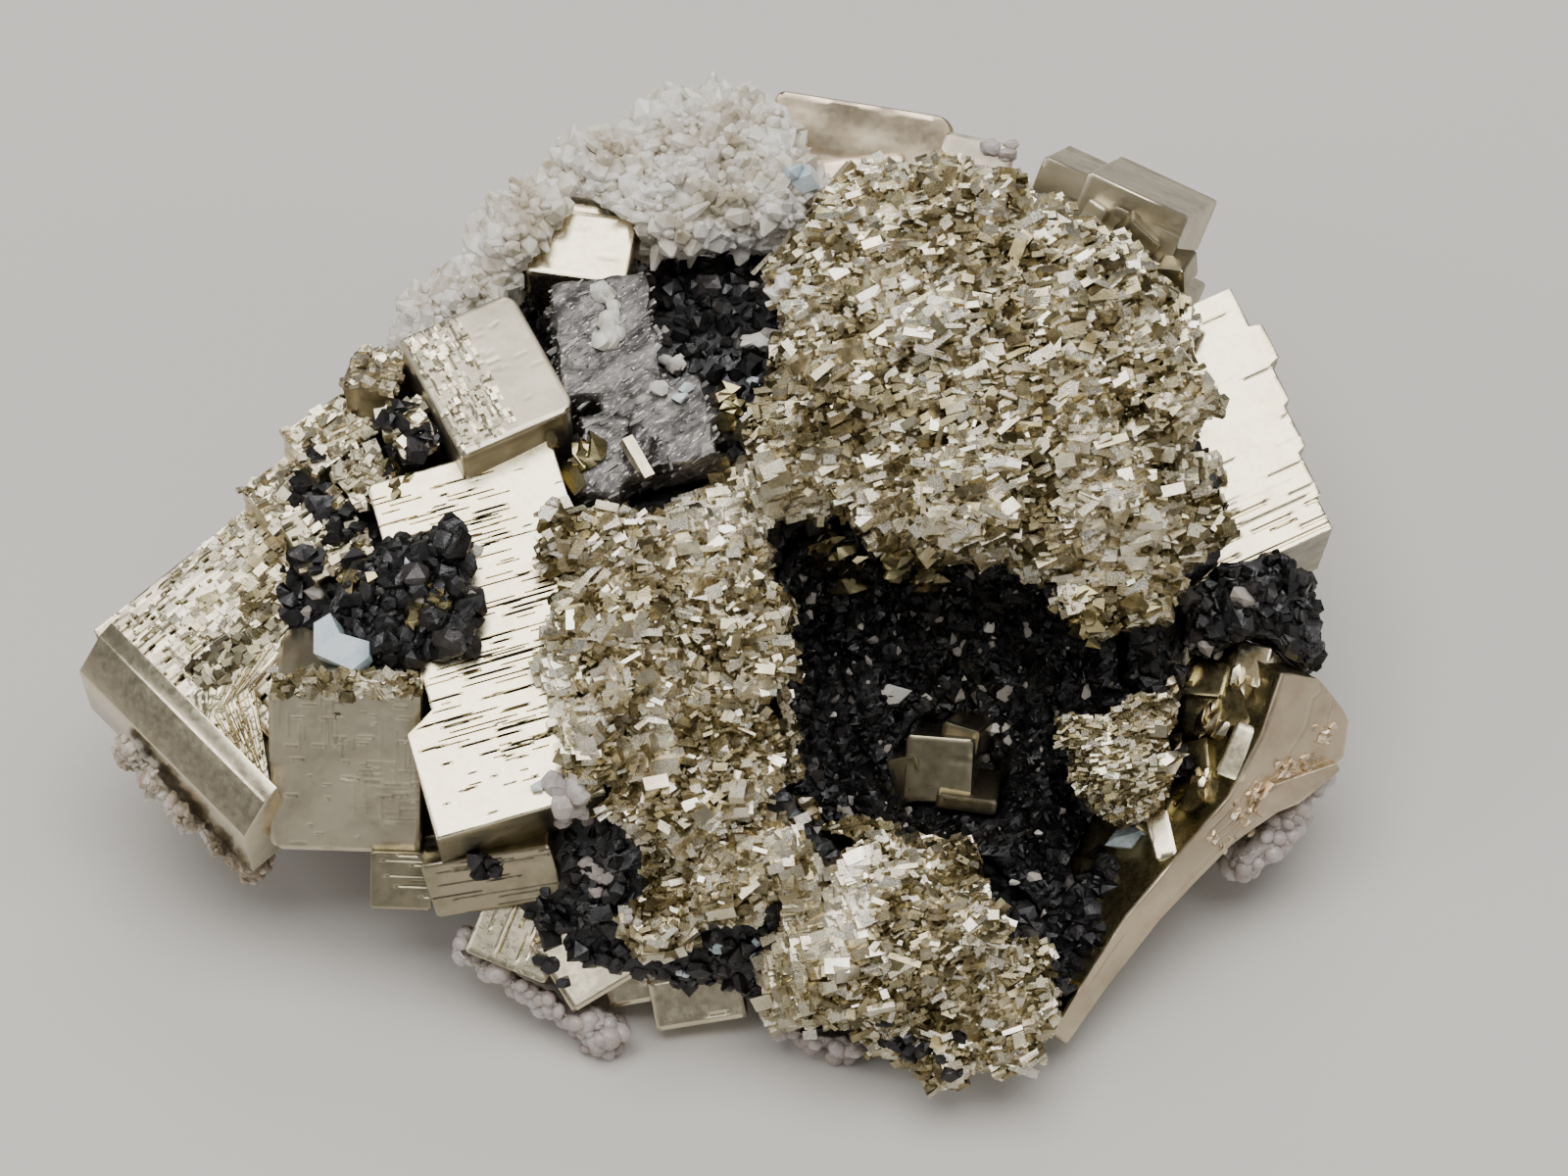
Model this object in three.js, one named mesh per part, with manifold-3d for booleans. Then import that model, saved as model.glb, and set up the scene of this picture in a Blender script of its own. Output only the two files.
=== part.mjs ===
// A pyrite cluster: striated pyrite cubes, knobs of fine pyrite, dark sphalerite and quartz, all intergrown.
// Millimetres. Everything is placed in the show frame: x to the right, y up the show face, z out of it.
// The whole specimen then leans back on the flat break that it rests on.
import * as THREE from "three";
import { mergeVertices } from "three/addons/utils/BufferGeometryUtils.js";
import Module from "manifold-3d";

const wasm = await Module();
wasm.setup();

// Driving dimensions, in millimetres and degrees.
const showLean = 38; // how far the show face leans back from facing straight up
const specimenPlace = [3.6, -5.1, 18.5]; // the middle of the show face, over the middle of the rest face
const seam = 0.3; // clear space between two neighbouring solids
const cutSide = 120; // side of the square block that cuts a body off flat
const cubeRoll = 16.5; // lie of the tall striated cube, which the front crystals share
const cubeLean = -18;

const pyriteLook = { color: new THREE.Color(0.78, 0.72, 0.56), roughness: 0.25, metalness: 1 };
const drusyLook = { color: new THREE.Color(0.62, 0.54, 0.36), roughness: 0.35, metalness: 1 };
const sphaleriteLook = { color: new THREE.Color(0.06, 0.05, 0.05), roughness: 0.3, metalness: 0 };
const greyLook = { color: new THREE.Color(0.3, 0.3, 0.31), roughness: 0.4, metalness: 0.5 };
const quartzLook = { color: new THREE.Color(0.84, 0.8, 0.77), roughness: 0.3, metalness: 0 };

const toRadians = THREE.MathUtils.degToRad;
const specimen = new THREE.Group();
specimen.rotation.x = toRadians(showLean);
specimen.position.set(...specimenPlace);
specimen.updateMatrixWorld(true);

// Numbers that look random and never change.
function randomFrom(seed) {
  let state = seed * 7919 + 17;
  return () => {
    state = (state * 1664525 + 1013904223) >>> 0;
    return state / 4294967296;
  };
}

function solidOf(geometry) {
  const bare = geometry.index ? geometry.toNonIndexed() : geometry.clone();
  bare.deleteAttribute("normal");
  bare.deleteAttribute("uv");
  const merged = mergeVertices(bare, 1e-4);
  return new wasm.Manifold(
    new wasm.Mesh({
      numProp: 3,
      vertProperties: new Float32Array(merged.attributes.position.array),
      triVerts: new Uint32Array(merged.index.array),
    }),
  );
}

// A piece is turned as the eye reads it: rolled in the picture, then leaned down, then swung to the right.
function turned({ roll = 0, lean = 0, swing = 0 }) {
  const angles = new THREE.Euler(toRadians(lean), toRadians(swing), toRadians(roll), "YXZ");
  return new THREE.Matrix4().makeRotationFromEuler(angles);
}

// A square-cornered crystal: the middle of its showing face, then its width, height and depth.
function block(crystal, grow = 0) {
  const [width, height, depth] = crystal.size;
  const box = new THREE.BoxGeometry(width + 2 * grow, height + 2 * grow, depth + 2 * grow);
  box.translate(0, 0, -depth / 2);
  return solidOf(box.applyMatrix4(turned(crystal).setPosition(...crystal.face)));
}

// An outline with each side moved outward by the same distance.
function grownOutline(outline, grow) {
  const corners = outline.map(([x, y]) => new THREE.Vector2(x, y));
  const side = THREE.ShapeUtils.isClockWise(corners) ? -1 : 1;
  return corners.map((corner, i) => {
    const before = corner.clone().sub(corners.at(i - 1)).normalize();
    const after = corners[(i + 1) % corners.length].clone().sub(corner).normalize();
    const out = new THREE.Vector2(before.y + after.y, -before.x - after.x).multiplyScalar(side).normalize();
    const slant = side * (out.x * before.y - out.y * before.x);
    return corner.clone().addScaledVector(out, grow / slant);
  });
}

// A crystal whose showing face has an outline of its own, given round the middle of that face.
function plate(crystal, grow = 0) {
  const body = new THREE.ExtrudeGeometry(new THREE.Shape(grownOutline(crystal.outline, grow)), {
    depth: crystal.depth + 2 * grow,
    bevelEnabled: false,
  });
  body.translate(0, 0, -crystal.depth - grow);
  if (crystal.standing) body.rotateX(-Math.PI / 2).translate(0, crystal.depth / 2, 0);
  return solidOf(body.applyMatrix4(turned(crystal).setPosition(...crystal.face)));
}

// A rough lump: a faceted ball drawn out to three radii, with its corners pushed in and out.
function lump({ centre, radii, roll, lean, swing, rough = 0.07, facets = 1, seed = 1 }, grow = 0) {
  const ball = new THREE.IcosahedronGeometry(1, facets);
  const points = ball.attributes.position;
  const corner = new THREE.Vector3();
  for (let i = 0; i < points.count; i++) {
    corner.fromBufferAttribute(points, i).normalize();
    const wave =
      Math.sin(5.1 * corner.x + 1.7 * seed) * Math.sin(4.3 * corner.y + 2.9 * seed) +
      0.6 * Math.sin(9.7 * corner.z + 8.1 * corner.x + 0.6 * seed) +
      0.35 * Math.sin(14.9 * corner.y - 11.3 * corner.z + 4.4 * seed);
    const out = 1 + rough * wave;
    points.setXYZ(
      i,
      corner.x * (radii[0] * out + grow),
      corner.y * (radii[1] * out + grow),
      corner.z * (radii[2] * out + grow),
    );
  }
  return solidOf(ball.applyMatrix4(turned({ roll, lean, swing }).setPosition(...centre)));
}

// One crystal that grew in steps: each is its place on the crystal's face, its lift off it, and its size.
function stepped({ face, roll, lean, swing, steps }) {
  const frame = turned({ roll, lean, swing }).setPosition(...face);
  return steps.map(([x, y, lift, width, height, depth]) => ({
    face: new THREE.Vector3(x, y, lift).applyMatrix4(frame).toArray(),
    size: [width, height, depth],
    roll,
    lean,
    swing,
  }));
}

// Places spread evenly over the side of a lump that faces one way, each with its direction out of the lump.
function placesOver(shape, count, toward, reach, random) {
  const frame = turned(shape);
  const facing = new THREE.Vector3(...toward).normalize();
  const places = [];
  const golden = Math.PI * (3 - Math.sqrt(5));
  for (let i = 0; i < count; i++) {
    const along = 1 - (2 * (i + 0.5)) / count;
    const round = golden * i + 0.8 * random();
    const across = Math.sqrt(1 - along * along);
    const out = new THREE.Vector3(across * Math.cos(round), along, across * Math.sin(round));
    const point = out.clone().multiply(new THREE.Vector3(...shape.radii));
    out.divide(new THREE.Vector3(...shape.radii)).normalize();
    out.applyMatrix4(frame);
    if (out.angleTo(facing) > toRadians(reach)) continue;
    places.push({ point: point.applyMatrix4(frame).add(new THREE.Vector3(...shape.centre)), out });
  }
  return places;
}

function isInside(point, shape) {
  const local = point.clone().sub(new THREE.Vector3(...shape.centre));
  local.applyMatrix4(turned(shape).invert()).divide(new THREE.Vector3(...shape.radii));
  return local.length() < 0.93;
}

// Small square crystals that stand out of the lumps of a knob, turned nearly alike.
function smallCubes({ lumps, spacing, size, seed, toward = [0, 0, 1], reach = 100, ...lie }) {
  const { roll = 15, lean = -20, tumble = 30, stand = 0.12 } = lie;
  const random = randomFrom(seed);
  const cubes = [];
  for (const shape of lumps) {
    const [a, b, c] = shape.radii;
    const count = Math.round((4 * Math.PI * ((a * b + b * c + c * a) / 3)) / (spacing * spacing));
    for (const { point, out } of placesOver(shape, count, toward, reach, random)) {
      const side = size[0] + (size[1] - size[0]) * random();
      const turn = { roll: roll + tumble * (2 * random() - 1), lean: lean + tumble * (2 * random() - 1) };
      turn.swing = tumble * (2 * random() - 1);
      if (lumps.some((other) => other !== shape && isInside(point, other))) continue;
      const middle = point.addScaledVector(out, stand * side);
      const frame = turned(turn).setPosition(middle);
      const face = new THREE.Vector3(0, 0, side / 2).applyMatrix4(frame).toArray();
      cubes.push({ face, size: [side * (1 + 0.35 * random()), side, side], ...turn });
    }
  }
  return cubes;
}

// Small rough grains that stand out of some lumps.
function grains({ lumps, spacing, size, seed, toward = [0, 0, 1], reach = 110, facets = 0 }) {
  const random = randomFrom(seed);
  const stones = [];
  for (const shape of lumps) {
    const [a, b, c] = shape.radii;
    const count = Math.round((4 * Math.PI * ((a * b + b * c + c * a) / 3)) / (spacing * spacing));
    for (const { point } of placesOver(shape, count, toward, reach, random)) {
      const radius = (size[0] + (size[1] - size[0]) * random()) / 2;
      const turn = { roll: 180 * random(), lean: 180 * random() };
      const radii = [radius * (1 + 0.4 * random()), radius, radius * (0.8 + 0.4 * random())];
      if (lumps.some((other) => other !== shape && isInside(point, other))) continue;
      stones.push({ centre: point.toArray(), radii, facets, ...turn });
    }
  }
  return stones;
}

function solidFrom({ blocks = [], plates = [], lumps = [], floor = null }, grow = 0) {
  const solid = wasm.Manifold.union([
    ...blocks.map((crystal) => block(crystal, grow)),
    ...plates.map((crystal) => plate(crystal, grow)),
    ...lumps.map((shape) => lump(shape, grow)),
  ]);
  if (floor === null) return solid;
  return solid.subtract(block({ face: [0, 0, floor - grow], size: [cutSide, cutSide, cutSide] }));
}

// A mineral body has its main shapes, and the small crystals that stand on them.
const pieces = [];
function addPiece(name, look, shape) {
  pieces.push({ name, look, ...shape });
}

// Lets the bodies grow into one another in their order: each leaves room for those before it.
function growTogether() {
  const below = new THREE.BoxGeometry(cutSide, cutSide, cutSide).translate(0, 0, -cutSide / 2);
  const underRest = solidOf(below.applyMatrix4(specimen.matrixWorld.clone().invert()));
  const pockets = pieces.map((piece) => {
    const pocket = solidFrom(piece, seam);
    return piece.hollow ? pocket.subtract(solidFrom(piece.hollow, -seam)) : pocket;
  });
  const smallPockets = pieces.map(({ small }) => (small ? solidFrom(small, seam) : null));
  pieces.forEach((piece, i) => {
    let solid = solidFrom(piece);
    if (piece.hollow) solid = solid.subtract(solidFrom(piece.hollow));
    for (const pocket of pockets.slice(0, i)) solid = solid.subtract(pocket);
    if (piece.small) {
      let small = solidFrom(piece.small);
      pockets.forEach((pocket, j) => {
        if (j !== i) small = small.subtract(pocket);
        if (j < i && smallPockets[j]) small = small.subtract(smallPockets[j]);
      });
      solid = solid.add(small);
    }
    solid = solid.subtract(underRest);
    solid = solid.decompose().reduce((a, b) => (a.volume() > b.volume() ? a : b));
    specimen.add(meshOf(solid, piece));
  });
}

function meshOf(solid, { name, look }) {
  const { vertProperties, triVerts } = solid.getMesh();
  const geometry = new THREE.BufferGeometry();
  geometry.setAttribute("position", new THREE.Float32BufferAttribute(vertProperties, 3));
  geometry.setIndex(Array.from(triVerts));
  geometry.computeBoundingBox();
  const middle = geometry.boundingBox.getCenter(new THREE.Vector3());
  geometry.translate(-middle.x, -middle.y, -middle.z);
  const mesh = new THREE.Mesh(geometry, new THREE.MeshStandardMaterial(look));
  mesh.name = name;
  mesh.position.copy(middle);
  return mesh;
}

// The body that carries them all: broken sphalerite and pyrite round the hollow, flat underneath.
// Its lumps lie level, and are placed from the spot on the rest face under the middle of the show face.
const levelled = { lean: -showLean };
function overRest(x, y, z) {
  return specimen.worldToLocal(new THREE.Vector3(specimenPlace[0] + x, specimenPlace[1] + y, z)).toArray();
}
const bodyLumps = [
  { centre: overRest(-1.5, 4.4, 8), radii: [27, 20, 12], facets: 2, seed: 101, ...levelled },
  { centre: overRest(-18.5, 3.4, 13), radii: [13, 13, 8], seed: 102, ...levelled },
  { centre: overRest(14.5, 11.4, 13), radii: [15, 14, 10], seed: 103, ...levelled },
  { centre: overRest(-4.5, 16.4, 13.5), radii: [18, 12.5, 8.5], seed: 104, ...levelled },
  { centre: overRest(-5.5, -9.6, 6), radii: [14, 9, 8], seed: 105, ...levelled },
  { centre: overRest(5.5, -12.6, 5), radii: [12, 8, 7], seed: 106, ...levelled },
];
const hollowLumps = [
  { centre: [9.6, -7, 0], radii: [11.4, 10.2, 9.6], seed: 91, rough: 0.05 },
  { centre: [17.4, -12.4, 1.4], radii: [7.4, 8.4, 9], seed: 92, rough: 0.05 },
  { centre: [4.4, -1.6, -1.6], radii: [6, 6, 8], seed: 93, rough: 0.05 },
];
addPiece("sphalerite_body", sphaleriteLook, {
  lumps: bodyLumps,
  small: {
    blocks: smallCubes({
      lumps: bodyLumps,
      spacing: 16,
      size: [5, 8],
      seed: 156,
      toward: [0, 0.6, -1],
      reach: 78,
      roll: 20,
      lean: 30,
      tumble: 40,
      stand: -0.15,
    }),
  },
  hollow: { lumps: hollowLumps },
});

// Three intergrown cubes at the left: a broad one with a bevelled edge, a low one, and the tall one.
const broadCube = { face: [-29.3, -3.15, -0.53], roll: 44, lean: -28.5, swing: -2, depth: 6.5 };
addPiece("left_cube_cluster", pyriteLook, {
  plates: [
    {
      ...broadCube,
      outline: [[-7, 7.9], [7, 7.9], [7, 1.4], [1, 0.4], [-3.2, -0.75], [-6.6, -7.4], [-7, -7.4]],
    },
    {
      ...broadCube,
      standing: true,
      depth: 14.8,
      outline: [[-7, 0], [-6, -0.4], [-5.5, 6.5], [-8.9, 6.5], [-8.9, 1.9]],
    },
  ],
  blocks: [
    { face: [-24.9, -10.1, 3.5], roll: -2, lean: 25, size: [8.7, 11.2, 8] },
    { face: [-28, -5.6, 0], roll: 44, lean: -10, size: [6.4, 6, 6] },
    ...stepped({
      face: [-16.4, -2.7, 4],
      roll: cubeRoll,
      lean: cubeLean,
      steps: [
        [0.85, 3.4, 0, 10.9, 14.8, 9],
        [-1.4, -7.1, 0.3, 9.8, 7, 9],
        [3.4, 7.6, 0.15, 5.6, 6.2, 8],
      ],
    }),
  ],
});

addPiece("upper_left_cube", pyriteLook, {
  blocks: stepped({
    face: [-17, 12.3, 1],
    roll: 26.7,
    lean: -28,
    steps: [
      [0, 0, 0, 7.2, 8.7, 8],
      [-1.8, -0.3, 0.3, 3.4, 7.4, 6],
    ],
  }),
});

addPiece("back_bright_cube", pyriteLook, {
  blocks: stepped({
    face: [-12, 20.4, -8],
    roll: -8,
    lean: -22,
    steps: [
      [0, -0.15, 0, 6.2, 4.4, 5],
      [2.2, -2.5, -0.2, 2, 2.8, 4],
      [-0.4, 1, -0.3, 3.2, 3.4, 4.5],
    ],
  }),
});

// The tall cube at the right is a stack of growth plates whose right ends step in and out.
const growthPlates = [
  { rise: 2.2, end: 0 },
  { rise: 3, end: 0.3 },
  { rise: 2.9, end: 0.8 },
  { rise: 2.6, end: 1.2 },
  { rise: 2.4, end: 1.8 },
  { rise: 2.8, end: 1.1 },
];
const growthLength = 12;
const growthDepth = 9;
const growthOverlap = 0.02;
addPiece("right_stepped_cube", pyriteLook, {
  blocks: stepped({
    face: [32, 3.4, -4],
    roll: 25,
    lean: -15,
    steps: growthPlates.map(({ rise, end }, i) => {
      const start = growthPlates.slice(0, i).reduce((sum, lower) => sum + lower.rise, 0);
      const lift = 0.22 * (i % 2);
      const place = [(end - growthLength) / 2, start + rise / 2, lift];
      return [...place, growthLength + end, rise + growthOverlap, growthDepth];
    }),
  }),
});

addPiece("upper_right_cubes", pyriteLook, {
  blocks: stepped({
    face: [20.2, 21.6, -7],
    roll: -26,
    lean: 14,
    swing: -19,
    steps: [
      [0, 0, 0, 6.6, 3.4, 7],
      [0.3, -2.6, 1.1, 6.2, 2.6, 7],
      [3, -4.6, 0.2, 3.6, 3.4, 6],
      [2.6, -7.4, 0.6, 2.8, 2.4, 5],
      [-4.4, -0.5, -1, 3.8, 3.4, 5],
    ],
  }),
});

// A row of beads, each given by its place and its radius across the show face.
function addBeads(name, beads, { height, depth }) {
  const lumps = beads.map(([x, y, radius], i) => ({
    centre: [x, y, height],
    radii: [radius, radius, depth],
    rough: 0.04,
    facets: 0,
    seed: 51 + i,
  }));
  addPiece(name, quartzLook, { lumps });
}

// A plate stands along the lower right rim: its edge widens upward, and crystals line its inside.
addPiece("right_plate_crystal", pyriteLook, {
  plates: [
    {
      face: [22.5, -14.7, 0.2],
      roll: -31,
      lean: 17.5,
      swing: 31.7,
      depth: 8,
      outline: [
        [0.4, -13], [1.8, -13], [1.9, -9], [2.3, -4], [3.5, 2], [5.6, 6.2],
        [6.8, 10], [5.4, 12], [1.8, 12.6], [-0.8, 11.6], [0.6, 8], [1.2, 4], [0, -5],
      ],
    },
  ],
  blocks: [
    { face: [25.1, -7, -3.2], roll: 10, lean: -20, swing: -34, size: [4.6, 2.6, 4] },
    { face: [26.2, -9.4, -1.2], roll: -20, lean: -16, swing: -20, size: [1.8, 3.4, 3] },
    { face: [26.9, -4.4, -2.2], roll: -10, lean: -20, swing: -26, size: [2.2, 2.6, 3] },
    { face: [22.4, -15.2, -0.2], roll: 16, lean: -14, swing: -16, size: [1.6, 4.2, 3] },
    { face: [24.6, -12.4, -1.4], roll: -10, lean: -26, swing: -30, size: [2.6, 2.4, 4] },
    { face: [23.2, -10.3, -3.5], roll: 20, lean: -24, swing: -36, size: [3.4, 3, 4] },
  ],
});

// Quartz that grew on the outside of the plate at the right.
addBeads(
  "right_quartz_beads",
  [
    [31.5, -9.4, 1.6],
    [30.4, -11.1, 1.8],
    [29.4, -13, 1.8],
    [28.4, -14.7, 1.8],
    [26.9, -16, 1.6],
  ],
  { height: -6, depth: 3.4 },
);

// The knobs of fine pyrite: their lumps, and the small cubes all over them.
function addKnob(name, floor, lumps, cubes) {
  addPiece(name, drusyLook, { lumps, floor, small: { floor, blocks: smallCubes({ lumps, ...cubes }) } });
}

addKnob(
  "small_druse_ball",
  -3.4,
  [{ centre: [19.4, -10.2, -1], radii: [3.2, 3.5, 3.4], seed: 4 }],
  { spacing: 4.8, size: [1.6, 2.3], seed: 5, reach: 80 },
);

addKnob(
  "upper_druse_knob",
  -6.4,
  [
    { centre: [11.5, 12, -1], radii: [12.2, 11.6, 8.6], lean: -25, facets: 2, seed: 2, rough: 0.05 },
    { centre: [7.2, 20.4, -6], radii: [6.8, 5.8, 6], facets: 0, seed: 3 },
    { centre: [0.9, 7.9, 0.5], radii: [3.2, 4, 4], seed: 5 },
    { centre: [16.8, 5.4, 1.5], radii: [5.6, 5.2, 6], seed: 6 },
    { centre: [21.2, 2, -0.5], radii: [3.2, 3.8, 4], facets: 0, seed: 7 },
    { centre: [20, 11, -2.5], radii: [4.8, 6.8, 6], facets: 0, seed: 8 },
    { centre: [7.4, 7.8, 2.2], radii: [6, 3.6, 6], facets: 0, seed: 9 },
  ],
  { spacing: 8.4, size: [2.5, 4], seed: 11, reach: 68 },
);

addKnob(
  "middle_druse_ridge",
  -3.2,
  [
    { centre: [-7.5, 0.5, 0.5], radii: [5.2, 5, 5.5], facets: 0, seed: 12 },
    { centre: [-3.2, -1.5, 1], radii: [3.8, 5.2, 6], facets: 0, seed: 13 },
    { centre: [-8.6, -4.6, 1], radii: [4.8, 5.6, 6], seed: 14 },
    { centre: [-3.4, -9, 1.2], radii: [4.4, 5.6, 6.2], seed: 15 },
    { centre: [-8.2, -10.6, 0.5], radii: [4.6, 4.8, 6], facets: 0, seed: 16 },
    { centre: [-2.8, -15.4, 1.2], radii: [5.2, 4.6, 6], seed: 17 },
    { centre: [-12.4, -4, 3.4], radii: [2, 3.4, 3.4], facets: 0, seed: 18 },
    { centre: [-11, -9.6, 4.4], radii: [2.4, 4, 4.2], facets: 0, seed: 19 },
    { centre: [-6.8, -15, 0.8], radii: [3.4, 4.8, 5.4], facets: 0, seed: 20 },
  ],
  { spacing: 8.2, size: [2.3, 3.5], seed: 12, reach: 64 },
);

addKnob(
  "lower_druse_knob",
  -3.4,
  [
    { centre: [7.5, -19.5, 1], radii: [5.2, 5.2, 6.4], seed: 21 },
    { centre: [12.4, -23, 0.4], radii: [3.8, 4.2, 4.6], seed: 22 },
    { centre: [2.8, -22.6, 0.6], radii: [3.3, 3.2, 4.8], facets: 0, seed: 23 },
    { centre: [8.2, -16.6, 0.8], radii: [4, 2.9, 5], facets: 0, seed: 24 },
    { centre: [8.4, -24.4, 0.6], radii: [4.8, 3.4, 3.4], seed: 25 },
    { centre: [4, -15.8, 0.4], radii: [3.2, 2.8, 4.8], facets: 0, seed: 26 },
  ],
  { spacing: 7.2, size: [2.1, 3], seed: 13, reach: 66 },
);

// A rough body: its lumps, and the grains that stand out of them.
function addRough(name, look, lumps, stones) {
  addPiece(name, look, { lumps, small: { lumps: grains({ lumps, ...stones }) } });
}

// Dark sphalerite that crept over the tall striated cube, and a pale chip beside it.
addRough(
  "left_sphalerite_patch",
  sphaleriteLook,
  [
    { centre: [-21.2, 0.2, 3.8], radii: [4, 2.8, 2], roll: 20, seed: 31 },
    { centre: [-22.2, -3, 4.2], radii: [2.6, 2.2, 1.8], seed: 32 },
    { centre: [-18.9, -1.2, 4.4], radii: [2, 3, 1.6], seed: 33 },
  ],
  { spacing: 6.6, size: [2, 2.8], seed: 34, reach: 70 },
);

addPiece("pale_chip", greyLook, {
  plates: [
    {
      face: [-24.9, -3.1, 5.8],
      lean: -20,
      swing: -14,
      depth: 2.2,
      outline: [[-1.8, 1.2], [-0.9, 1.8], [-0.2, 0.6], [1.6, 0.1], [1.7, -0.8], [0.8, -1.6], [-1.6, -0.6]],
    },
  ],
});

// Small olive cubes between the broad cube and the upper one.
addPiece("left_small_crystals", pyriteLook, {
  blocks: [
    { face: [-23.6, 12.6, -1.6], roll: -6, lean: -46, swing: -10, size: [3.4, 3.2, 5] },
    { face: [-26.2, 9, -1.8], roll: 40, lean: -32, size: [4.6, 3.6, 6] },
    { face: [-28.6, 5.6, -2.4], roll: 42, lean: -28, size: [4.2, 4, 6] },
    { face: [-24, 6.4, 0], roll: 36, lean: -12, size: [3, 3, 5] },
    { face: [-26.2, 3, 0.2], roll: 30, lean: -20, size: [4, 4.4, 5] },
    { face: [-21.4, 9.2, 0.4], roll: 24, lean: -24, size: [2.4, 3.4, 4] },
  ],
});

addBeads(
  "left_edge_crust",
  [
    [-37.8, -9.4, 1.5],
    [-36.2, -11.2, 1.5],
    [-34.4, -12.8, 1.7],
    [-32.6, -14.4, 1.6],
    [-30.8, -15.9, 1.5],
  ],
  { height: -3, depth: 2.6 },
);

// Pyrite crystals and quartz beads along the front foot.
addPiece("front_cubes", pyriteLook, {
  blocks: [
    { face: [-21.9, -16.8, 1.2], roll: -2, lean: 22, size: [3.6, 3.6, 6] },
    { face: [-16.6, -16.8, 2], roll: 12, lean: 38, size: [7.6, 4, 6] },
    { face: [-15.2, -19.8, 0.6], roll: -22, lean: -6, size: [5, 4.2, 7] },
    { face: [-11.4, -21.4, 0.8], roll: 32, lean: 14, swing: 8, size: [4.4, 4.8, 7] },
    { face: [-8, -22.2, -1], roll: 10, lean: 20, size: [5, 3.8, 6] },
    { face: [-5, -23.7, -1], roll: 10, lean: 20, size: [5.4, 3.4, 5] },
  ],
});

const frontBeads = 6;
addBeads(
  "front_quartz_beads",
  Array.from({ length: frontBeads }, (unused, i) => [-18 + 1.5 * i, -20.6 - 0.98 * i, 1.5 + 0.2 * (i % 2)]),
  { height: -1.9, depth: 2.4 },
);

addBeads(
  "knob_quartz_beads",
  [
    [-0.2, -20.9, 1.4],
    [-0.7, -22.2, 1.5],
    [-0.6, -23.8, 1.4],
    [0.2, -25, 1.3],
    [1.8, -25.9, 1.3],
    [3.4, -26.2, 1.2],
  ],
  { height: -1, depth: 2 },
);

// Behind: smooth pyrite, the white quartz crust over it, and the grey sulphide in front of them.
addPiece("back_pyrite_blocks", pyriteLook, {
  blocks: [
    { face: [4.6, 26.6, -14], roll: -9, lean: 4, size: [11, 5, 4] },
    { face: [11.4, 25.4, -11.5], roll: -12, lean: -6, size: [4.4, 3, 6] },
    { face: [4, 23.4, -13], roll: 6, lean: -10, size: [7, 5, 6] },
  ],
});

addRough(
  "back_quartz_crust",
  quartzLook,
  [
    { centre: [-19.9, 15.7, -8.5], radii: [3, 4.8, 4.6], roll: -40, facets: 0, seed: 81 },
    { centre: [-15.4, 20.6, -10.5], radii: [3.2, 4, 4.6], roll: -40, seed: 82 },
    { centre: [-10.4, 24.4, -12.5], radii: [5.2, 3.1, 5], facets: 0, seed: 83 },
    { centre: [-4.4, 26, -13.5], radii: [6.2, 4, 5.4], seed: 84 },
    { centre: [-0.6, 23.4, -11.5], radii: [4.6, 4.2, 4.6], facets: 0, seed: 85 },
    { centre: [-6.6, 22.6, -10.5], radii: [5.6, 3.5, 4], facets: 0, seed: 86 },
  ],
  { spacing: 26, size: [2.8, 4], seed: 87, reach: 70 },
);

addPiece("grey_sulphide_mass", greyLook, {
  blocks: [
    { face: [-10.4, 14.8, -3.2], roll: 8, lean: -26, size: [6, 8, 7] },
    { face: [-7.2, 9.6, -1.1], roll: 12, lean: -22, size: [6.2, 5.6, 7] },
    { face: [-10.6, 7.6, 0.2], roll: -6, lean: -16, size: [3.2, 5, 6] },
    { face: [-8.1, 7.6, 0.9], roll: -17, lean: -14, size: [0.8, 2.9, 2] },
  ],
});

// A cube that stands in the hollow, with a thin one grown on its foot.
addPiece("hollow_pyrite_cube", pyriteLook, {
  blocks: [
    { face: [9, -10.6, -4.6], roll: -4, lean: 10, swing: -12, size: [4, 3.9, 5] },
    { face: [10.6, -12.6, -4], roll: -8, lean: 30, swing: -6, size: [3.6, 1, 4] },
  ],
});

addRough(
  "right_sphalerite_mass",
  sphaleriteLook,
  [
    { centre: [26.2, -1, -5.4], radii: [5, 3.4, 4.4], seed: 95 },
    { centre: [28.9, -3.2, -5.6], radii: [2.8, 2.6, 4], seed: 96 },
  ],
  { spacing: 8, size: [2.4, 3.2], seed: 97, reach: 70 },
);

// Fine crystals line the floor and the walls of the hollow, up to its shaded rim.
const crustThickness = 1.3;
const crustTop = -2.6;
const crustSpan = 40;
function drawnIn(lumps, by) {
  return lumps.map((shape) => ({ ...shape, radii: shape.radii.map((radius) => radius - by) }));
}
addPiece("hollow_crystal_crust", sphaleriteLook, {
  lumps: hollowLumps,
  hollow: {
    lumps: drawnIn(hollowLumps, seam + crustThickness),
    blocks: [{ face: [10, -8, crustTop + crustSpan], size: [crustSpan, crustSpan, crustSpan] }],
  },
  small: {
    lumps: grains({
      lumps: drawnIn(hollowLumps, seam + crustThickness / 2),
      spacing: 16,
      size: [2.8, 4],
      seed: 98,
      toward: [0, 0, -1],
      reach: 60,
    }),
  },
});

growTogether();

export default specimen;
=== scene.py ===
import math

import bmesh
import bpy
import numpy as np
from mathutils import Matrix, Vector, noise
from mathutils.bvhtree import BVHTree


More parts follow.
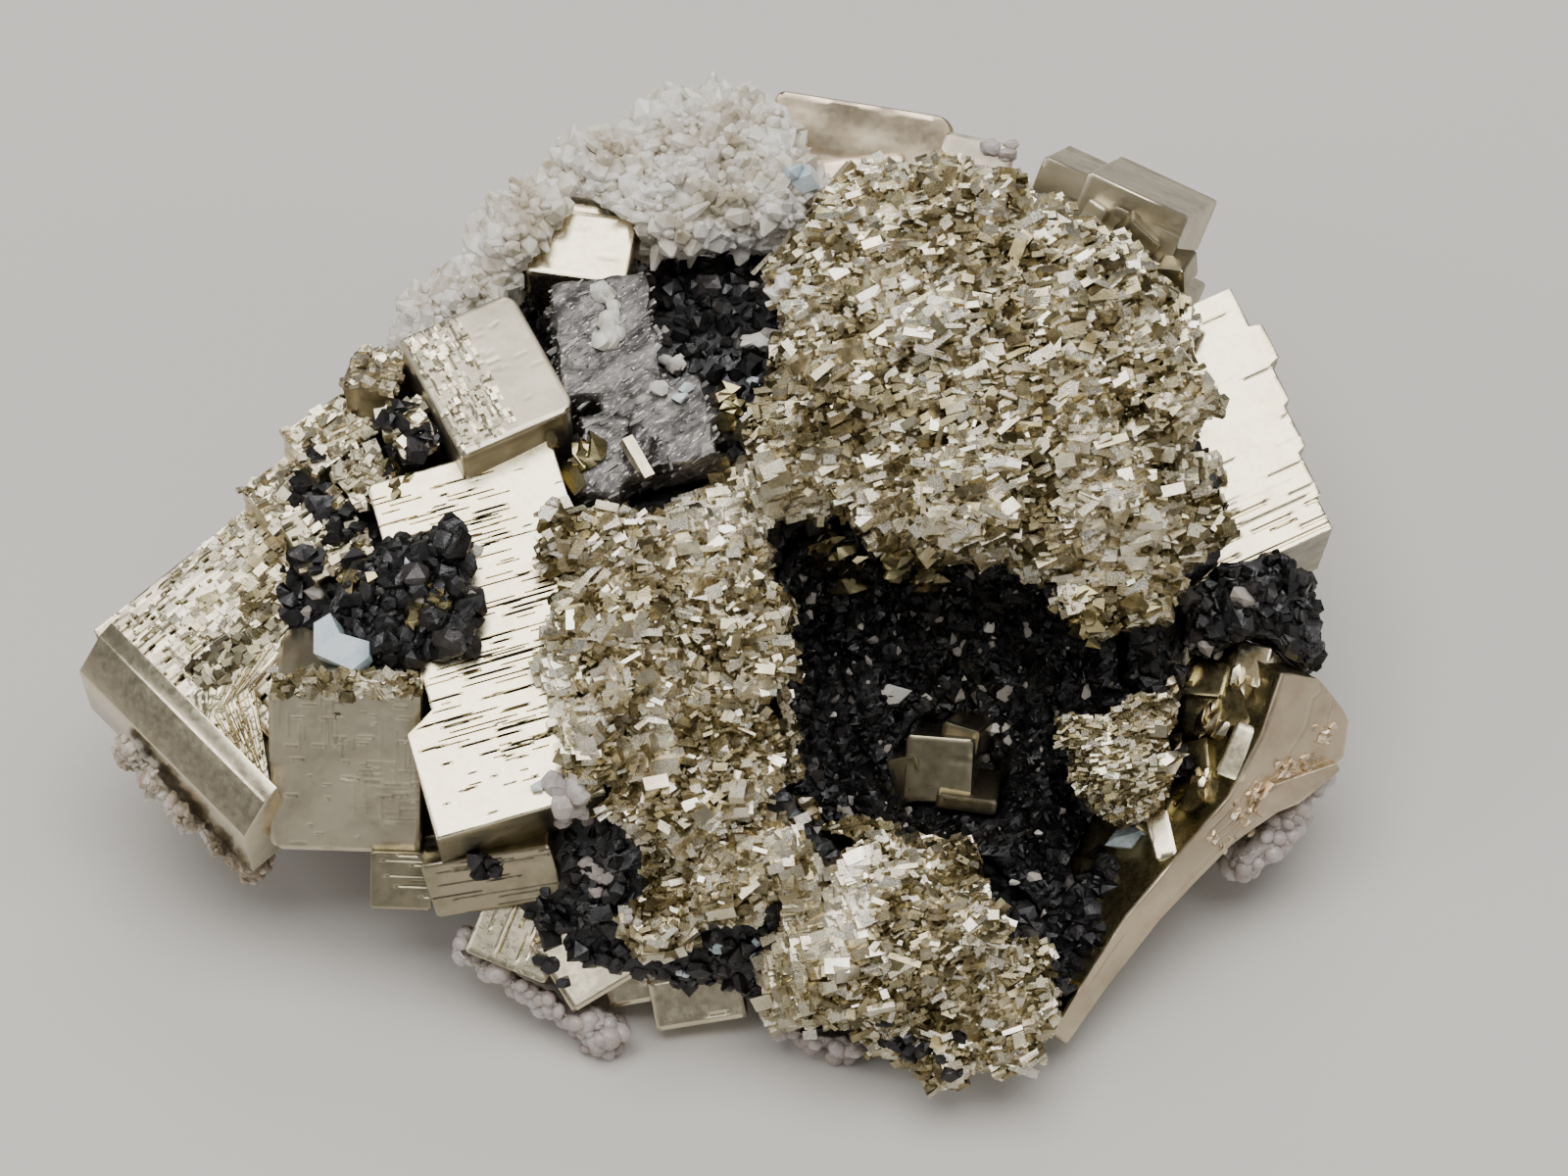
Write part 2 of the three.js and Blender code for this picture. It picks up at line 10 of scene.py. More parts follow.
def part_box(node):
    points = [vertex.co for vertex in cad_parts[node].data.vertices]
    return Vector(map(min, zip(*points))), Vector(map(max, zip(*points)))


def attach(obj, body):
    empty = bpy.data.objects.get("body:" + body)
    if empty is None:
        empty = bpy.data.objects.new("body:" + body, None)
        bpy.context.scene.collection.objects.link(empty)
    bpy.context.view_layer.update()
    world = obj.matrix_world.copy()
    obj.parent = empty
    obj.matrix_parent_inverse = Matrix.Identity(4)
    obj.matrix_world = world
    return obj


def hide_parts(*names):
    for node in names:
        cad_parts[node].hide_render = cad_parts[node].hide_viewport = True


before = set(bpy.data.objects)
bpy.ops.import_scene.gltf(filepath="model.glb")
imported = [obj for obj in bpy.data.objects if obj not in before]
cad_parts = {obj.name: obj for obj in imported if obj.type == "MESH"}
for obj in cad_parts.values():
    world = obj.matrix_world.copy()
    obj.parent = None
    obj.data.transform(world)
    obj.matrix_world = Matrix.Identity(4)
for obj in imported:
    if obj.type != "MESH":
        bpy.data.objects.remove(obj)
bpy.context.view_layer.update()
mm = 0.001
print("frame loaded")

# The crystals are placed in the show frame, in mm: x to the right, y up the show face, z out of it.
# The camera stands straight in front of it, so that each pixel of the photograph is a place on it.
show = {"place": (3.6, -5.1, 18.5), "lean": 38}
view = {"distance": 300, "lens": 120, "sensor": 36, "picture": (1600, 1200)}  # in mm, the picture in pixels
showMatrix = Matrix.Translation(show["place"]) @ Matrix.Rotation(math.radians(show["lean"]), 4, "X")
toMetres = Matrix.Scale(mm, 4) @ showMatrix


def turned(roll=0, lean=0, swing=0):
    turns = ((swing, "Y"), (lean, "X"), (roll, "Z"))
    first, second, third = (Matrix.Rotation(math.radians(angle), 4, axis) for angle, axis in turns)
    return first @ second @ third


# Materials

def linear(hexColour):
    parts = [int(hexColour[i:i + 2], 16) / 255 for i in (1, 3, 5)]
    return [p / 12.92 if p <= 0.04045 else ((p + 0.055) / 1.055) ** 2.4 for p in parts] + [1]


def feed(tree, node, inputs):
    # values or links for a node's inputs, by name or by number; a node stands for its first output
    for key, value in inputs.items():
        socket = node.inputs[int(key[1:]) if key[1:].isdigit() else key.replace("_", " ")]
        if isinstance(value, bpy.types.Node):
            value = value.outputs[0]
        if isinstance(value, bpy.types.NodeSocket):
            tree.links.new(value, socket)
        else:
            socket.default_value = value


def addNode(tree, kind, settings=None, **inputs):
    # one node: its settings, a colour ramp's stops among them, then what its inputs get
    node = tree.nodes.new(kind)
    for key, value in (settings or {}).items():
        if key != "stops":
            setattr(node, key, value)
            continue
        while len(node.color_ramp.elements) < len(value):
            node.color_ramp.elements.new(0.5)
        for element, (position, colour) in zip(node.color_ramp.elements, value):
            element.position = position
            element.color = linear(colour) if isinstance(colour, str) else (colour, colour, colour, 1)
    feed(tree, node, inputs)
    return node


def newMaterial(name, **values):
    material = bpy.data.materials.new(name)
    material.use_nodes = True
    tree = material.node_tree
    shader = tree.nodes["Principled BSDF"]
    feed(tree, shader, values)
    return material, tree, shader


def grain(tree, size, detail=3, stretch=(1, 1, 1), turn=(0, 0, 0)):
    # noise whose lumps are about size mm across, drawn out along its own turned axes
    where = addNode(tree, "ShaderNodeTexCoord").outputs["Object"]
    mapping = addNode(tree, "ShaderNodeMapping", {"vector_type": "TEXTURE"}, Vector=where,
                      Rotation=[math.radians(angle) for angle in turn], Scale=stretch)
    scale = 1 / (size * mm)
    return addNode(tree, "ShaderNodeTexNoise", Vector=mapping, Scale=scale, Detail=detail, Roughness=0.6)


def tinted(tree, share, pattern):
    # each crystal's own tint, times its share, on top of a pattern
    tint = addNode(tree, "ShaderNodeAttribute", {"attribute_name": "tint"}).outputs["Fac"]
    return addNode(tree, "ShaderNodeMath", {"operation": "MULTIPLY_ADD"}, i0=tint, i1=share, i2=pattern)


def coat(tree, shader, colour, smear, roughness, *bumps):
    # the colour, a roughness along a smear, and bumps over one another, each a pattern and its depth in mm
    rough = addNode(tree, "ShaderNodeValToRGB", {"stops": roughness}, Fac=smear)
    under = {}
    for pattern, depth in bumps:
        under = {"Normal": addNode(tree, "ShaderNodeBump", Height=pattern, Distance=depth * mm, **under)}
    feed(tree, shader, {"Base Color": colour, "Roughness": rough, **under})


# Pyrite as it grows: a bright pale brass-yellow metal, its faces nearly mirrors, dulled by a faint tarnish.
def pyriteCrystal(name, bright, dull, roughness, pitted=0, etching=0.003):
    material, tree, shader = newMaterial(name, Metallic=1.0)
    tarnish, waves, etched = grain(tree, 2.2, 4), grain(tree, 1.6, 2), grain(tree, 0.12)
    # the near-black first stop is reached by the low tints of cut dashes: painted shade
    stops = [(0.1, "#17130c"), (0.34, dull), (0.75, bright)]
    colour = addNode(tree, "ShaderNodeValToRGB", {"stops": stops}, Fac=tinted(tree, 0.45, tarnish))
    bumps = [(waves, 0.02), (etched, etching)]
    if pitted:
        stops = [(0.3, 0.0), (0.42, 1.0)]
        pits = addNode(tree, "ShaderNodeValToRGB", {"stops": stops}, Fac=grain(tree, 0.45, 4))
        bumps.append((pits, pitted))
    coat(tree, shader, colour, grain(tree, 0.5, 4), [(0.3, roughness), (0.75, roughness + 0.14)], *bumps)
    return material


# A skin of very small pyrite crystals: the same metal, each with its own tarnish from olive to cream.
def pyriteDruse(name):
    material, tree, shader = newMaterial(name, Metallic=1.0)
    stops = [(0.36, 0.0), (0.64, 0.4)]
    blotches = addNode(tree, "ShaderNodeValToRGB", {"stops": stops}, Fac=grain(tree, 4))
    stops = [(0.12, "#5f5539"), (0.38, "#a79b79"), (0.62, "#d5ccb4"), (0.9, "#f4eedd")]
    colour = addNode(tree, "ShaderNodeValToRGB", {"stops": stops}, Fac=tinted(tree, 0.64, blotches))
    growthLines = grain(tree, 0.14, stretch=(1, 0.4, 0.4))
    coat(tree, shader, colour, grain(tree, 0.4), [(0.3, 0.15), (0.75, 0.38)], (growthLines, 0.02))
    return material


# Sphalerite rich in iron: black, adamantine where a face is whole, dull and granular where it is broken.
def blackSphalerite(name, gloss, pale=0.96):
    material, tree, shader = newMaterial(name, IOR=2.37, Specular_IOR_Level=gloss)
    stops = [(0.0, "#050405"), (0.7, "#0d0b0c"), (0.88, "#262223"), (pale, "#383330"),
             (pale + 0.015, "#a9a199")]
    colour = addNode(tree, "ShaderNodeValToRGB", {"stops": stops}, Fac=tinted(tree, 1, 0))
    bumps = [(grain(tree, 0.35, 4), 0.05), (grain(tree, 0.1, 2), 0.012)]
    coat(tree, shader, colour, grain(tree, 0.9), [(0.38, 0.1), (0.56, 0.55)], *bumps)
    return material


# Grey lead-bearing sulphide, etched: a soft half-metallic grey with pale specks along its cleavage.
def etchedGreySulphide(name):
    material, tree, shader = newMaterial(name, Metallic=0.75)
    # the cleavage rises to the right over the show face
    along = {"stretch": (1, 0.3, 0.3), "turn": (0, -23, 33)}
    streaks, etched = grain(tree, 2.4, 5, **along), grain(tree, 0.5, 4, **along)
    stops = [(0.34, "#3b3939"), (0.52, "#6b6866"), (0.7, "#8f8b86")]
    grey = addNode(tree, "ShaderNodeValToRGB", {"stops": stops}, Fac=tinted(tree, 0.16, streaks))
    stops = [(0.6, 0.0), (0.68, 1.0)]
    specks = addNode(tree, "ShaderNodeValToRGB", {"stops": stops}, Fac=grain(tree, 0.5, **along))
    mixed = addNode(tree, "ShaderNodeMix", {"data_type": "RGBA"}, i0=specks, i6=grey, i7=linear("#d8d3c9"))
    coat(tree, shader, mixed.outputs[2], grain(tree, 0.4), [(0.3, 0.3), (0.7, 0.5)], (etched, 0.05))
    return material


# Milky quartz: white with a lilac breath, glassy skin, light goes a little way in.
def milkyQuartz(name, colours, clear=0.12):
    material, tree, shader = newMaterial(name, IOR=1.54, Transmission_Weight=clear, Subsurface_Weight=0.25,
                                         Subsurface_Scale=0.0006, Subsurface_Radius=(1, 0.9, 0.85))
    stops = [(0.36, 0.0), (0.62, 0.6)]
    clouds = addNode(tree, "ShaderNodeValToRGB", {"stops": stops}, Fac=grain(tree, 2.8))
    stops = list(zip((0.05, 0.4, 0.8), colours))
    colour = addNode(tree, "ShaderNodeValToRGB", {"stops": stops}, Fac=tinted(tree, 0.3, clouds))
    coat(tree, shader, colour, grain(tree, 0.4), [(0.3, 0.16), (0.7, 0.45)], (grain(tree, 0.2), 0.02))
    return material


brightPyrite = pyriteCrystal("brightStriatedPyrite", "#e2d7b9", "#cdbf99", 0.2)  # fresh, nearly white
pittedPyrite = pyriteCrystal("pittedStriatedPyrite", "#dad0b6", "#aca182", 0.24, pitted=0.07)
facetPyrite = pyriteCrystal("smoothPyriteFacet", "#d3c8ae", "#b3a88c", 0.17, etching=0.0006)  # mirrors
satinPyrite = pyriteCrystal("satinPyriteEdge", "#d2c2a8", "#ad9a7e", 0.3, etching=0.0015)  # soft sheen
greyPyrite = pyriteCrystal("greySatinPyrite", "#c6bda7", "#9d947e", 0.3, etching=0.0015)
duskyPyrite = pyriteCrystal("duskyTarnishedPyrite", "#a59c84", "#6f6851", 0.26, etching=0.002)  # brownish
olivePyrite = pyriteCrystal("oliveTarnishedPyrite", "#a79c76", "#6d6443", 0.22)  # greenish, in the hollow
drusePyrite = pyriteDruse("finePyriteDruse")
sphalerite = blackSphalerite("blackSphalerite", 0.13)
speckledSphalerite = blackSphalerite("speckledBlackSphalerite", 0.09, pale=0.945)
greySulphide = etchedGreySulphide("etchedGreySulphide")
quartz = milkyQuartz("milkyQuartz", ("#b5a88f", "#e9e2d2", "#fbf8f0"))
# quartz whose blue-white colour is painted: a painted reflection of bluish light and painted glints
paintedReflectionQuartz = milkyQuartz("milkyQuartzPaintedBlueReflection", ("#a9b9c2", "#c9d8df", "#eaf2f5"))
beadQuartz = milkyQuartz("translucentPinkishQuartz", ("#bfaea6", "#d8cac3", "#efe6e1"), clear=0.45)
stainedQuartz = milkyQuartz("stainedGranularQuartz", ("#7d6f5c", "#b5a48c", "#e6ddd0"), clear=0.2)
print("materials made")


# Shapes

class Grown:
    # a mesh as it is gathered: points in metres, faces, each point's tint and each face's material slot
    def __init__(self):
        self.points, self.faces, self.tints, self.slots = [], [], [], []

    def add(self, place, points, faces, tints, slot=0):
        start = len(self.points)
        matrix = np.array(toMetres @ place)
        points = np.asarray(points, float) @ matrix[:3, :3].T + matrix[:3, 3]
        self.points += points.tolist()
        self.faces += [[start + i for i in face] for face in faces]
        self.tints += list(tints) if np.ndim(tints) else [tints] * len(points)
        self.slots += list(slot) if np.ndim(slot) else [slot] * len(faces)

    def toObject(self, name, materials):
        mesh = bpy.data.meshes.new(name)
        mesh.from_pydata(self.points, [], self.faces)
        tint = mesh.attributes.new("tint", "FLOAT", "POINT")
        tint.data.foreach_set("value", self.tints)
        for material in materials:
            mesh.materials.append(material)
        mesh.polygons.foreach_set("material_index", self.slots)
        mesh.polygons.foreach_set("use_smooth", [True] * len(self.faces))
        mesh.update()
        mesh.set_sharp_from_angle(angle=math.radians(30))
        return bringIn(name, mesh)


def bringIn(name, mesh):
    item = bpy.data.objects.new(name, mesh)
    bpy.context.scene.collection.objects.link(item)
    return item


def nodeOf(name, own):
    # the CAD node that a piece replaces mostly has its name, in small letters with underscores
    return own.get("node") or "".join("_" + c.lower() if c.isupper() else c for c in name)


def finishPiece(piece, slot, *nodes):
    # nothing reaches below the ground, then the piece is attached to the root and the CAD nodes it replaces
    # are hidden
    coordinates = np.empty(len(piece.data.vertices) * 3)
    piece.data.vertices.foreach_get("co", coordinates)
    coordinates[2::3] = np.maximum(coordinates[2::3], 0.02 * mm)
    piece.data.vertices.foreach_set("co", coordinates)
    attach(piece, "root")
    if nodes:
        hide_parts(*nodes)
    triangles = sum(len(p.vertices) - 2 for p in piece.data.polygons)
    print(piece.name, triangles, "triangles")


def crystal(face, size, roll=0, lean=0, swing=0, **more):
    # a square crystal: the middle of its face, its three sides and its turns in degrees
    return {"face": face, "size": size, "turns": (roll, lean, swing), **more}


def stepped(face, turns, steps, **more):
    # crystals grown together, each a little in front of or behind the rest: place, sides and material slot
    place = Matrix.Translation(face) @ turned(*turns)
    return [crystal(tuple(place @ Vector(spot)), size, *turns, slot=slot, **more)
            for spot, size, slot in steps]


def mark(zone, gap, length, depth, **more):
    # dashes over a zone of a face that runs from -1 to 1 both ways: the gap between, how long, how deep
    return {"zone": zone, "gap": gap, "length": length, "depth": depth, **more}


def placed(block):
    return Matrix.Translation(block["face"]) @ turned(*block["turns"])


def roundedOutline(width, height, corners):
    # a square crystal's outline, with radii at bottom left, bottom right, top right and top left
    outline, cornerSteps = [], 4
    for k, radius in enumerate(corners):
        signX, signY = ((-1, -1), (1, -1), (1, 1), (-1, 1))[k]
        for step in range(cornerSteps + 1):
            angle = math.radians(180 + 90 * k + 90 / cornerSteps * step)
            outline.append((signX * (width / 2 - radius) + radius * math.cos(angle),
                            signY * (height / 2 - radius) + radius * math.sin(angle)))
    return outline


def rowSpan(outline, y):
    # where a row across the outline starts and ends
    crossings = []
    for (x0, y0), (x1, y1) in zip(outline, outline[1:] + outline[:1]):
        if (y0 <= y) != (y1 <= y):
            crossings.append(x0 + (x1 - x0) * (y - y0) / (y1 - y0))
    return min(crossings), max(crossings)


def gridLines(length, cell, rim):
    # lines from 0 to length: close together at the worn rim, then about a cell apart
    count = max(1, round((length - 2 * rim) / cell))
    inner = np.linspace(rim, length - rim, count + 1)
    first = 0.3 * rim
    return np.concatenate(([0, first], inner, [length - first, length]))


# how faces are cut: how far a dash leaves its row, in pitches, and how often it is thick; how high growth
# steps are, in pitches, and how much they darken; the slow waves; how much of all this the rim keeps; the
# tint of a plain face, and the painted shade that a dash and a millimetre of rib take from it
faceCuts = {"stray": 0.105, "thick": 0.3, "stepRise": (0.6, 1.6), "stepDark": 0.25, "waves": 5,
            "waveTurns": (0.8, 2.2), "rimShare": 0.2, "tint": 0.5, "paintedCutShade": 1.5, "paintedRibShade": 4.5}


def addDashes(heights, dark, cells, spots, own, random):
    # dashes cut at random spots of a zone; with a pitch they keep to rows, or upright ones to columns
    upright = own.get("upright", False)
    thickCell, longCell = cells if upright else cells[::-1]
    count = int(len(spots) * cells[0] * cells[1] / (own["gap"] * sum(own["length"]) / 2))
    for i, j in spots[random.integers(0, len(spots), count)]:
        if "pitch" in own:
            row = round((j if upright else i) * thickCell / own["pitch"]) * own["pitch"] / thickCell
            row = max(2, round(row + random.normal() * faceCuts["stray"] * own["pitch"] / thickCell))
            i, j = (i, row) if upright else (row, j)
        length, depth = random.uniform(*own["length"]), random.uniform(*own["depth"])
        thick = 1 if random.random() > own.get("thick", faceCuts["thick"]) else 2
        long = max(1, round(length / longCell))
        rows, columns = (long, thick) if upright else (thick, long)
        where = (slice(i, i + rows), slice(j, j + columns))
        heights[where] = np.minimum(heights[where], -depth)
        # a cut dash is also painted darker: painted shade in the groove
        dark[where] = own.get("dark", 1)


def addSteps(heights, dark, cells, own, random):
    # growth steps: patches in rows, each at its own depth
    rows, columns = heights.shape
    row = 0
    while row < rows:
        end = row + max(1, round(random.uniform(*faceCuts["stepRise"]) * own["pitch"] / cells[1]))
        column = 0
        while column < columns:
            stop = column + max(1, round(random.uniform(*own["run"]) / cells[0]))
            heights[row:end, column:stop] -= random.uniform(0, own["lift"])
            dark[row:end, column:stop] += faceCuts["stepDark"] * random.random()
            column = stop
        row = end


def carveFace(x, y, look, random):
    # heights and tints over a face's grid; the cuts get painted shade in their tints
    heights, dark = np.zeros(x.shape), np.zeros(x.shape)
    wide, tall = x.max() - x.min(), y.max() - y.min()
    across = (x - x.min()) / wide * 2 - 1
    up = (y - y.min()) / tall * 2 - 1
    cells = wide / x.shape[1], tall / x.shape[0]
    for own in look["marks"]:
        left, low, right, high = own["zone"]
        spots = np.argwhere((across > left) & (up > low) & (across < right) & (up < high))
        addDashes(heights, dark, cells, spots, own, random)
    if "steps" in look:
        addSteps(heights, dark, cells, look["steps"], random)
    for _ in range(faceCuts["waves"]):
        turn, phase = random.uniform(0, math.pi), random.uniform(0, 6.28)
        way = x * math.cos(turn) + y * math.sin(turn)
        heights += look["wave"] * np.sin(way * random.uniform(*faceCuts["waveTurns"]) + phase)
    # the rim nearly keeps its height, so that walls and face stay joined
    heights[[0, 1, -2, -1], :] *= faceCuts["rimShare"]
    heights[:, [0, 1, -2, -1]] *= faceCuts["rimShare"]
    return heights, faceCuts["tint"] - faceCuts["paintedCutShade"] * dark


def addBlock(grown, block, look, random):
    # one crystal: a carved face with a worn rim, ribbed walls and a plain back, all one closed surface
    width, height, depth = block["size"]
    outline = block.get("outline") or roundedOutline(width, height, block.get("corners", (0.25,) * 4))
    rim, cell = look["rim"], look["cell"]
    low, high = min(y for _, y in outline), max(y for _, y in outline)
    ys = low + gridLines(high - low, cell[1], rim)
    spans = np.array([rowSpan(outline, min(max(y, low + 1e-3), high - 1e-3)) for y in ys])
    widest = (spans[:, 1] - spans[:, 0]).max()
    share = gridLines(widest, cell[0], rim) / widest
    x = spans[:, :1] + (spans[:, 1:] - spans[:, :1]) * share
    y = np.repeat(ys[:, None], len(share), 1)
    fromRimX = np.maximum(0, rim - np.minimum(share, 1 - share) * widest)
    fromRimY = np.maximum(0, rim - np.minimum(ys - low, high - ys))
    drop = rim - np.sqrt(np.maximum(0, rim ** 2 - fromRimX[None, :] ** 2 - fromRimY[:, None] ** 2))
    heights, tints = carveFace(x, y, look, random)
    index = np.arange(x.size).reshape(x.shape)
    points = np.stack([x, y, heights - drop], -1).reshape(-1, 3)
    quads = np.stack([index[:-1, :-1], index[:-1, 1:], index[1:, 1:], index[1:, :-1]], -1)
    quads = quads.reshape(-1, 4).tolist()
    slots = [block.get("slot", 0)] * len(quads)
    # the walls go down from the face's border in rings
    border = np.concatenate([index[0, :-1], index[:-1, -1], index[-1, :0:-1], index[:0:-1, 0]])
    flat = points[border][:, :2]
    along = np.roll(flat, -1, 0) - np.roll(flat, 1, 0)
    outward = np.stack([along[:, 1], -along[:, 0]], -1)
    outward /= np.maximum(1e-6, np.linalg.norm(outward, axis=1))[:, None]
    levels = np.linspace(rim, depth, max(3, round((depth - rim) / look["wallCell"])))[1:]
    last, everything, everyTint = border, [points], [tints.reshape(-1)]
    for down in levels:
        rib = random.uniform(0, look["ribs"]) if down < levels[-1] else 0
        start = sum(len(p) for p in everything)
        everything.append(np.column_stack([flat - outward * rib, np.full(len(flat), -down)]))
        # a ring set further in is painted darker: painted shade in the wall's grooves
        everyTint.append(np.full(len(flat), faceCuts["tint"] - faceCuts["paintedRibShade"] * rib))
        fresh = start + np.arange(len(flat))
        quads += np.stack([last, fresh, np.roll(fresh, -1), np.roll(last, -1)], -1).tolist()
        last = fresh
    quads.append(last[::-1].tolist())
    # walls may take a darker material than the face: painted shade on the crystal's sides
    slots += [block.get("wallSlot", block.get("slot", 0))] * (len(quads) - len(slots))
    grown.add(placed(block), np.concatenate(everything), quads, np.concatenate(everyTint), slots)


boxFaces = [(0, 1, 3, 2), (4, 6, 7, 5), (0, 4, 5, 1), (2, 3, 7, 6), (0, 2, 6, 4), (1, 5, 7, 3)]


def boxCorners(low, high):
    return [(x, y, z) for x in (low[0], high[0]) for y in (low[1], high[1]) for z in (low[2], high[2])]


def sprinkle(grown, place, own, random):
    # small square crystals lying over part of a face
    zone, tumble = own["zone"], own.get("tumble", 14)
    for _ in range(own["count"]):
        spot = (random.uniform(zone[0], zone[2]), random.uniform(zone[1], zone[3]), 0)
        turn = turned(*random.uniform(-tumble, tumble, 3)) @ turned(own.get("roll", 0))
        long = random.uniform(*own["size"]) / 2
        short = long * random.uniform(0.4, 0.9)
        thick = long * random.uniform(0.3, 0.8) * own.get("thick", 1)
        corners = boxCorners((-long, -short, -thick), (long, short, thick))
        tint = random.uniform(*own.get("tint", (0.1, 0.9)))
        grown.add(place @ Matrix.Translation(spot) @ turn, corners, boxFaces, tint, own.get("slot", 0))


def takeShape(made):
    # the points and faces of a bmesh, which is then let go
    made.verts.index_update()
    found = [v.co[:] for v in made.verts], [[v.index for v in f.verts] for f in made.faces]
    made.free()
    return found


def stone(random, corners, squash=(1, 1, 1)):
    # a broken grain about one unit across: the hull of a few points on a squashed ball
    points = random.normal(size=(corners, 3))
    points /= np.linalg.norm(points, axis=1)[:, None]
    points *= random.uniform(0.42, 0.55, (corners, 1)) * squash
    hull = bmesh.new()
    for point in points:
        hull.verts.new(point)
    bmesh.ops.convex_hull(hull, input=hull.verts)
    bmesh.ops.recalc_face_normals(hull, faces=hull.faces)
    return takeShape(hull)


def bead():
    # a smooth round grain, one unit across
    ball = bmesh.new()
    bmesh.ops.create_icosphere(ball, subdivisions=2, radius=0.5)
    return takeShape(ball)


plainFace = {"cell": (0.3, 0.12), "rim": 0.12, "wallCell": 0.4, "ribs": 0.03, "wave": 0.006}
everywhere = (-0.96, -0.96, 0.96, 0.96)

# The three intergrown cubes at the left: a broad one, a low one in front of it and a tall striated one
leftCubes = {
    "seed": 11,
    "materials": [brightPyrite, pittedPyrite, greyPyrite, drusePyrite, facetPyrite, duskyPyrite],
    "broad": crystal(
        (-29.3, -3.15, -0.53), (14, 15.3, 6.5), 44, -28.5, -2,
        outline=[(-7, 7.9), (-7, -7.4), (-6.5, -7.4), (-2.5, -1.2), (1, -0.6), (7, 0.6), (7, 7.9)], slot=1),
    "bevel": {
        "outline": [(-7, 0), (-6, -0.4), (-5.5, 6.5), (-8.9, 6.5), (-8.9, 1.9)], "length": 14.8,
        "edge": 0.12},
    "broadFace": {
        **plainFace, "cell": (0.17, 0.085), "rim": 0.1, "wallCell": 0.36, "ribs": 0.14, "wave": 0.012,
        "steps": {"pitch": 0.4, "run": (0.8, 5), "lift": 0.06},
        "marks": [
            mark(everywhere, 1.3, (0.2, 1.4), (0.04, 0.12), pitch=0.4, thick=0.15, dark=0.6),
            mark(
                (-0.96, -0.96, -0.3, 0.05), 0.45, (1.2, 4.5), (0.04, 0.08), pitch=0.42, thick=0.1,
                dark=0.22, upright=True),
            mark((-0.9, 0.2, 0.9, 0.9), 2.6, (0.1, 0.3), (0.1, 0.25), thick=1, dark=0.9)]},
    "grains": [
        {"zone": (-3.5, 2.6, 5.5, 5.2), "count": 260, "size": (0.25, 0.85), "slot": 3, "tint": (0.2, 0.8)},
        {"zone": (-1, 0.9, 6.8, 3.6), "count": 260, "size": (0.25, 0.9), "slot": 3, "tumble": 22},
        {"zone": (1, 5, 6.9, 7.8), "count": 140, "size": (0.25, 0.7), "slot": 3, "tint": (0.3, 0.8)},
        # small crystals along the step, their dusky material and low tints a painted shade of the step
        {
            "zone": (-4.6, 0.2, 1.8, 2.2), "count": 150, "size": (0.3, 0.9), "slot": 5,
            "tint": (-0.1, 0.5), "tumble": 28}],
    "low": crystal((-24.9, -10.1, 3.5), (8.7, 11.2, 8), -2, 25, corners=(0.8, 0.3, 0.4, 1.6), slot=2),
    "lowFace": {
        **plainFace, "cell": (0.09, 0.09), "rim": 0.35, "wallCell": 0.6, "ribs": 0.05, "wave": 0.014,
        "marks": [
            mark(
                (0.1, -0.66, 0.95, 0.08), 0.5, (0.4, 2.6), (0.01, 0.03), pitch=0.28, thick=0.1, dark=0.16),
            mark(
                (0.1, -0.66, 0.95, 0.08), 0.4, (0.6, 3.6), (0.01, 0.035), pitch=0.28, thick=0.1,
                dark=0.18, upright=True),
            mark(
                (-0.95, 0.1, 0.1, 0.95), 0.5, (0.5, 2.6), (0.01, 0.04), pitch=0.24, thick=0.1, dark=0.25,
                upright=True),
            mark((-0.8, -0.95, 0.9, 0.95), 3, (0.2, 1), (0.02, 0.05), thick=0.4, dark=0.3),
            mark((-0.15, 0.54, -0.05, 0.6), 0.1, (0.1, 0.3), (0.1, 0.2), dark=0.8)]},
    "lowGrains": {"zone": (-4, 4.4, 4.2, 6), "count": 120, "size": (0.3, 1), "slot": 3, "tumble": 40},
    "between": crystal((-28, -5.6, 0), (6.4, 6, 6), 44, -10, slot=1),
    # its walls take the dusky material: painted shade on the crystal's sides
    "tall": crystal(
        (-16.4, -2.7, 4), (12.6, 21.4, 9), 16.5, -18,
        outline=[
            (-6.3, -10.6), (3.5, -10.6), (3.6, -4.5), (6.2, -3.9), (6.3, 10), (6, 10.6), (5.4, 10.8),
            (-4.4, 10.8), (-4.6, 10.5), (-4.6, -3.2), (-5.4, -3.7), (-6.3, -4.2)],
        wallSlot=5),
    "tallFace": {
        **plainFace, "cell": (0.3, 0.05), "wallCell": 0.6, "ribs": 0.06,
        "marks": [
            mark((-0.75, 0.36, 0.36, 0.9), 0.55, (0.3, 2.2), (0.08, 0.14), pitch=0.34, thick=0.2),
            mark((-0.92, -0.6, 0.66, 0.3), 0.5, (0.4, 3), (0.08, 0.14), pitch=0.34, thick=0.2),
            mark((-0.85, -0.2, 0.2, 0.3), 1.2, (1, 4), (0.1, 0.16), pitch=0.34, thick=0.5),
            mark((-0.4, -0.64, 0.5, -0.6), 0.12, (0.6, 2.4), (0.1, 0.16), thick=0.8),
            mark((-0.9, -0.86, 0.7, -0.6), 3, (0.2, 0.9), (0.05, 0.12), thick=0.5),
            mark(everywhere, 8, (0.3, 1.5), (0.03, 0.08), thick=0.1)]}}


def addBevel(grown, place, own, tint, slot):
    # the smooth facet along the broad cube's edge: its section drawn out along the edge, with worn edges
    solid = bmesh.new()
    half = own["length"] / 2
    rings = [[solid.verts.new((x, end, -y)) for x, y in own["outline"]] for end in (-half, half)]
    for ring in rings:
        solid.faces.new(ring)
    for i in range(len(rings[0])):
        solid.faces.new((rings[0][i - 1], rings[0][i], rings[1][i], rings[1][i - 1]))
    bmesh.ops.recalc_face_normals(solid, faces=solid.faces)
    bmesh.ops.bevel(solid, geom=solid.edges[:], offset=own["edge"], segments=2, profile=0.6, affect="EDGES")
    grown.add(place, *takeShape(solid), tint, slot)


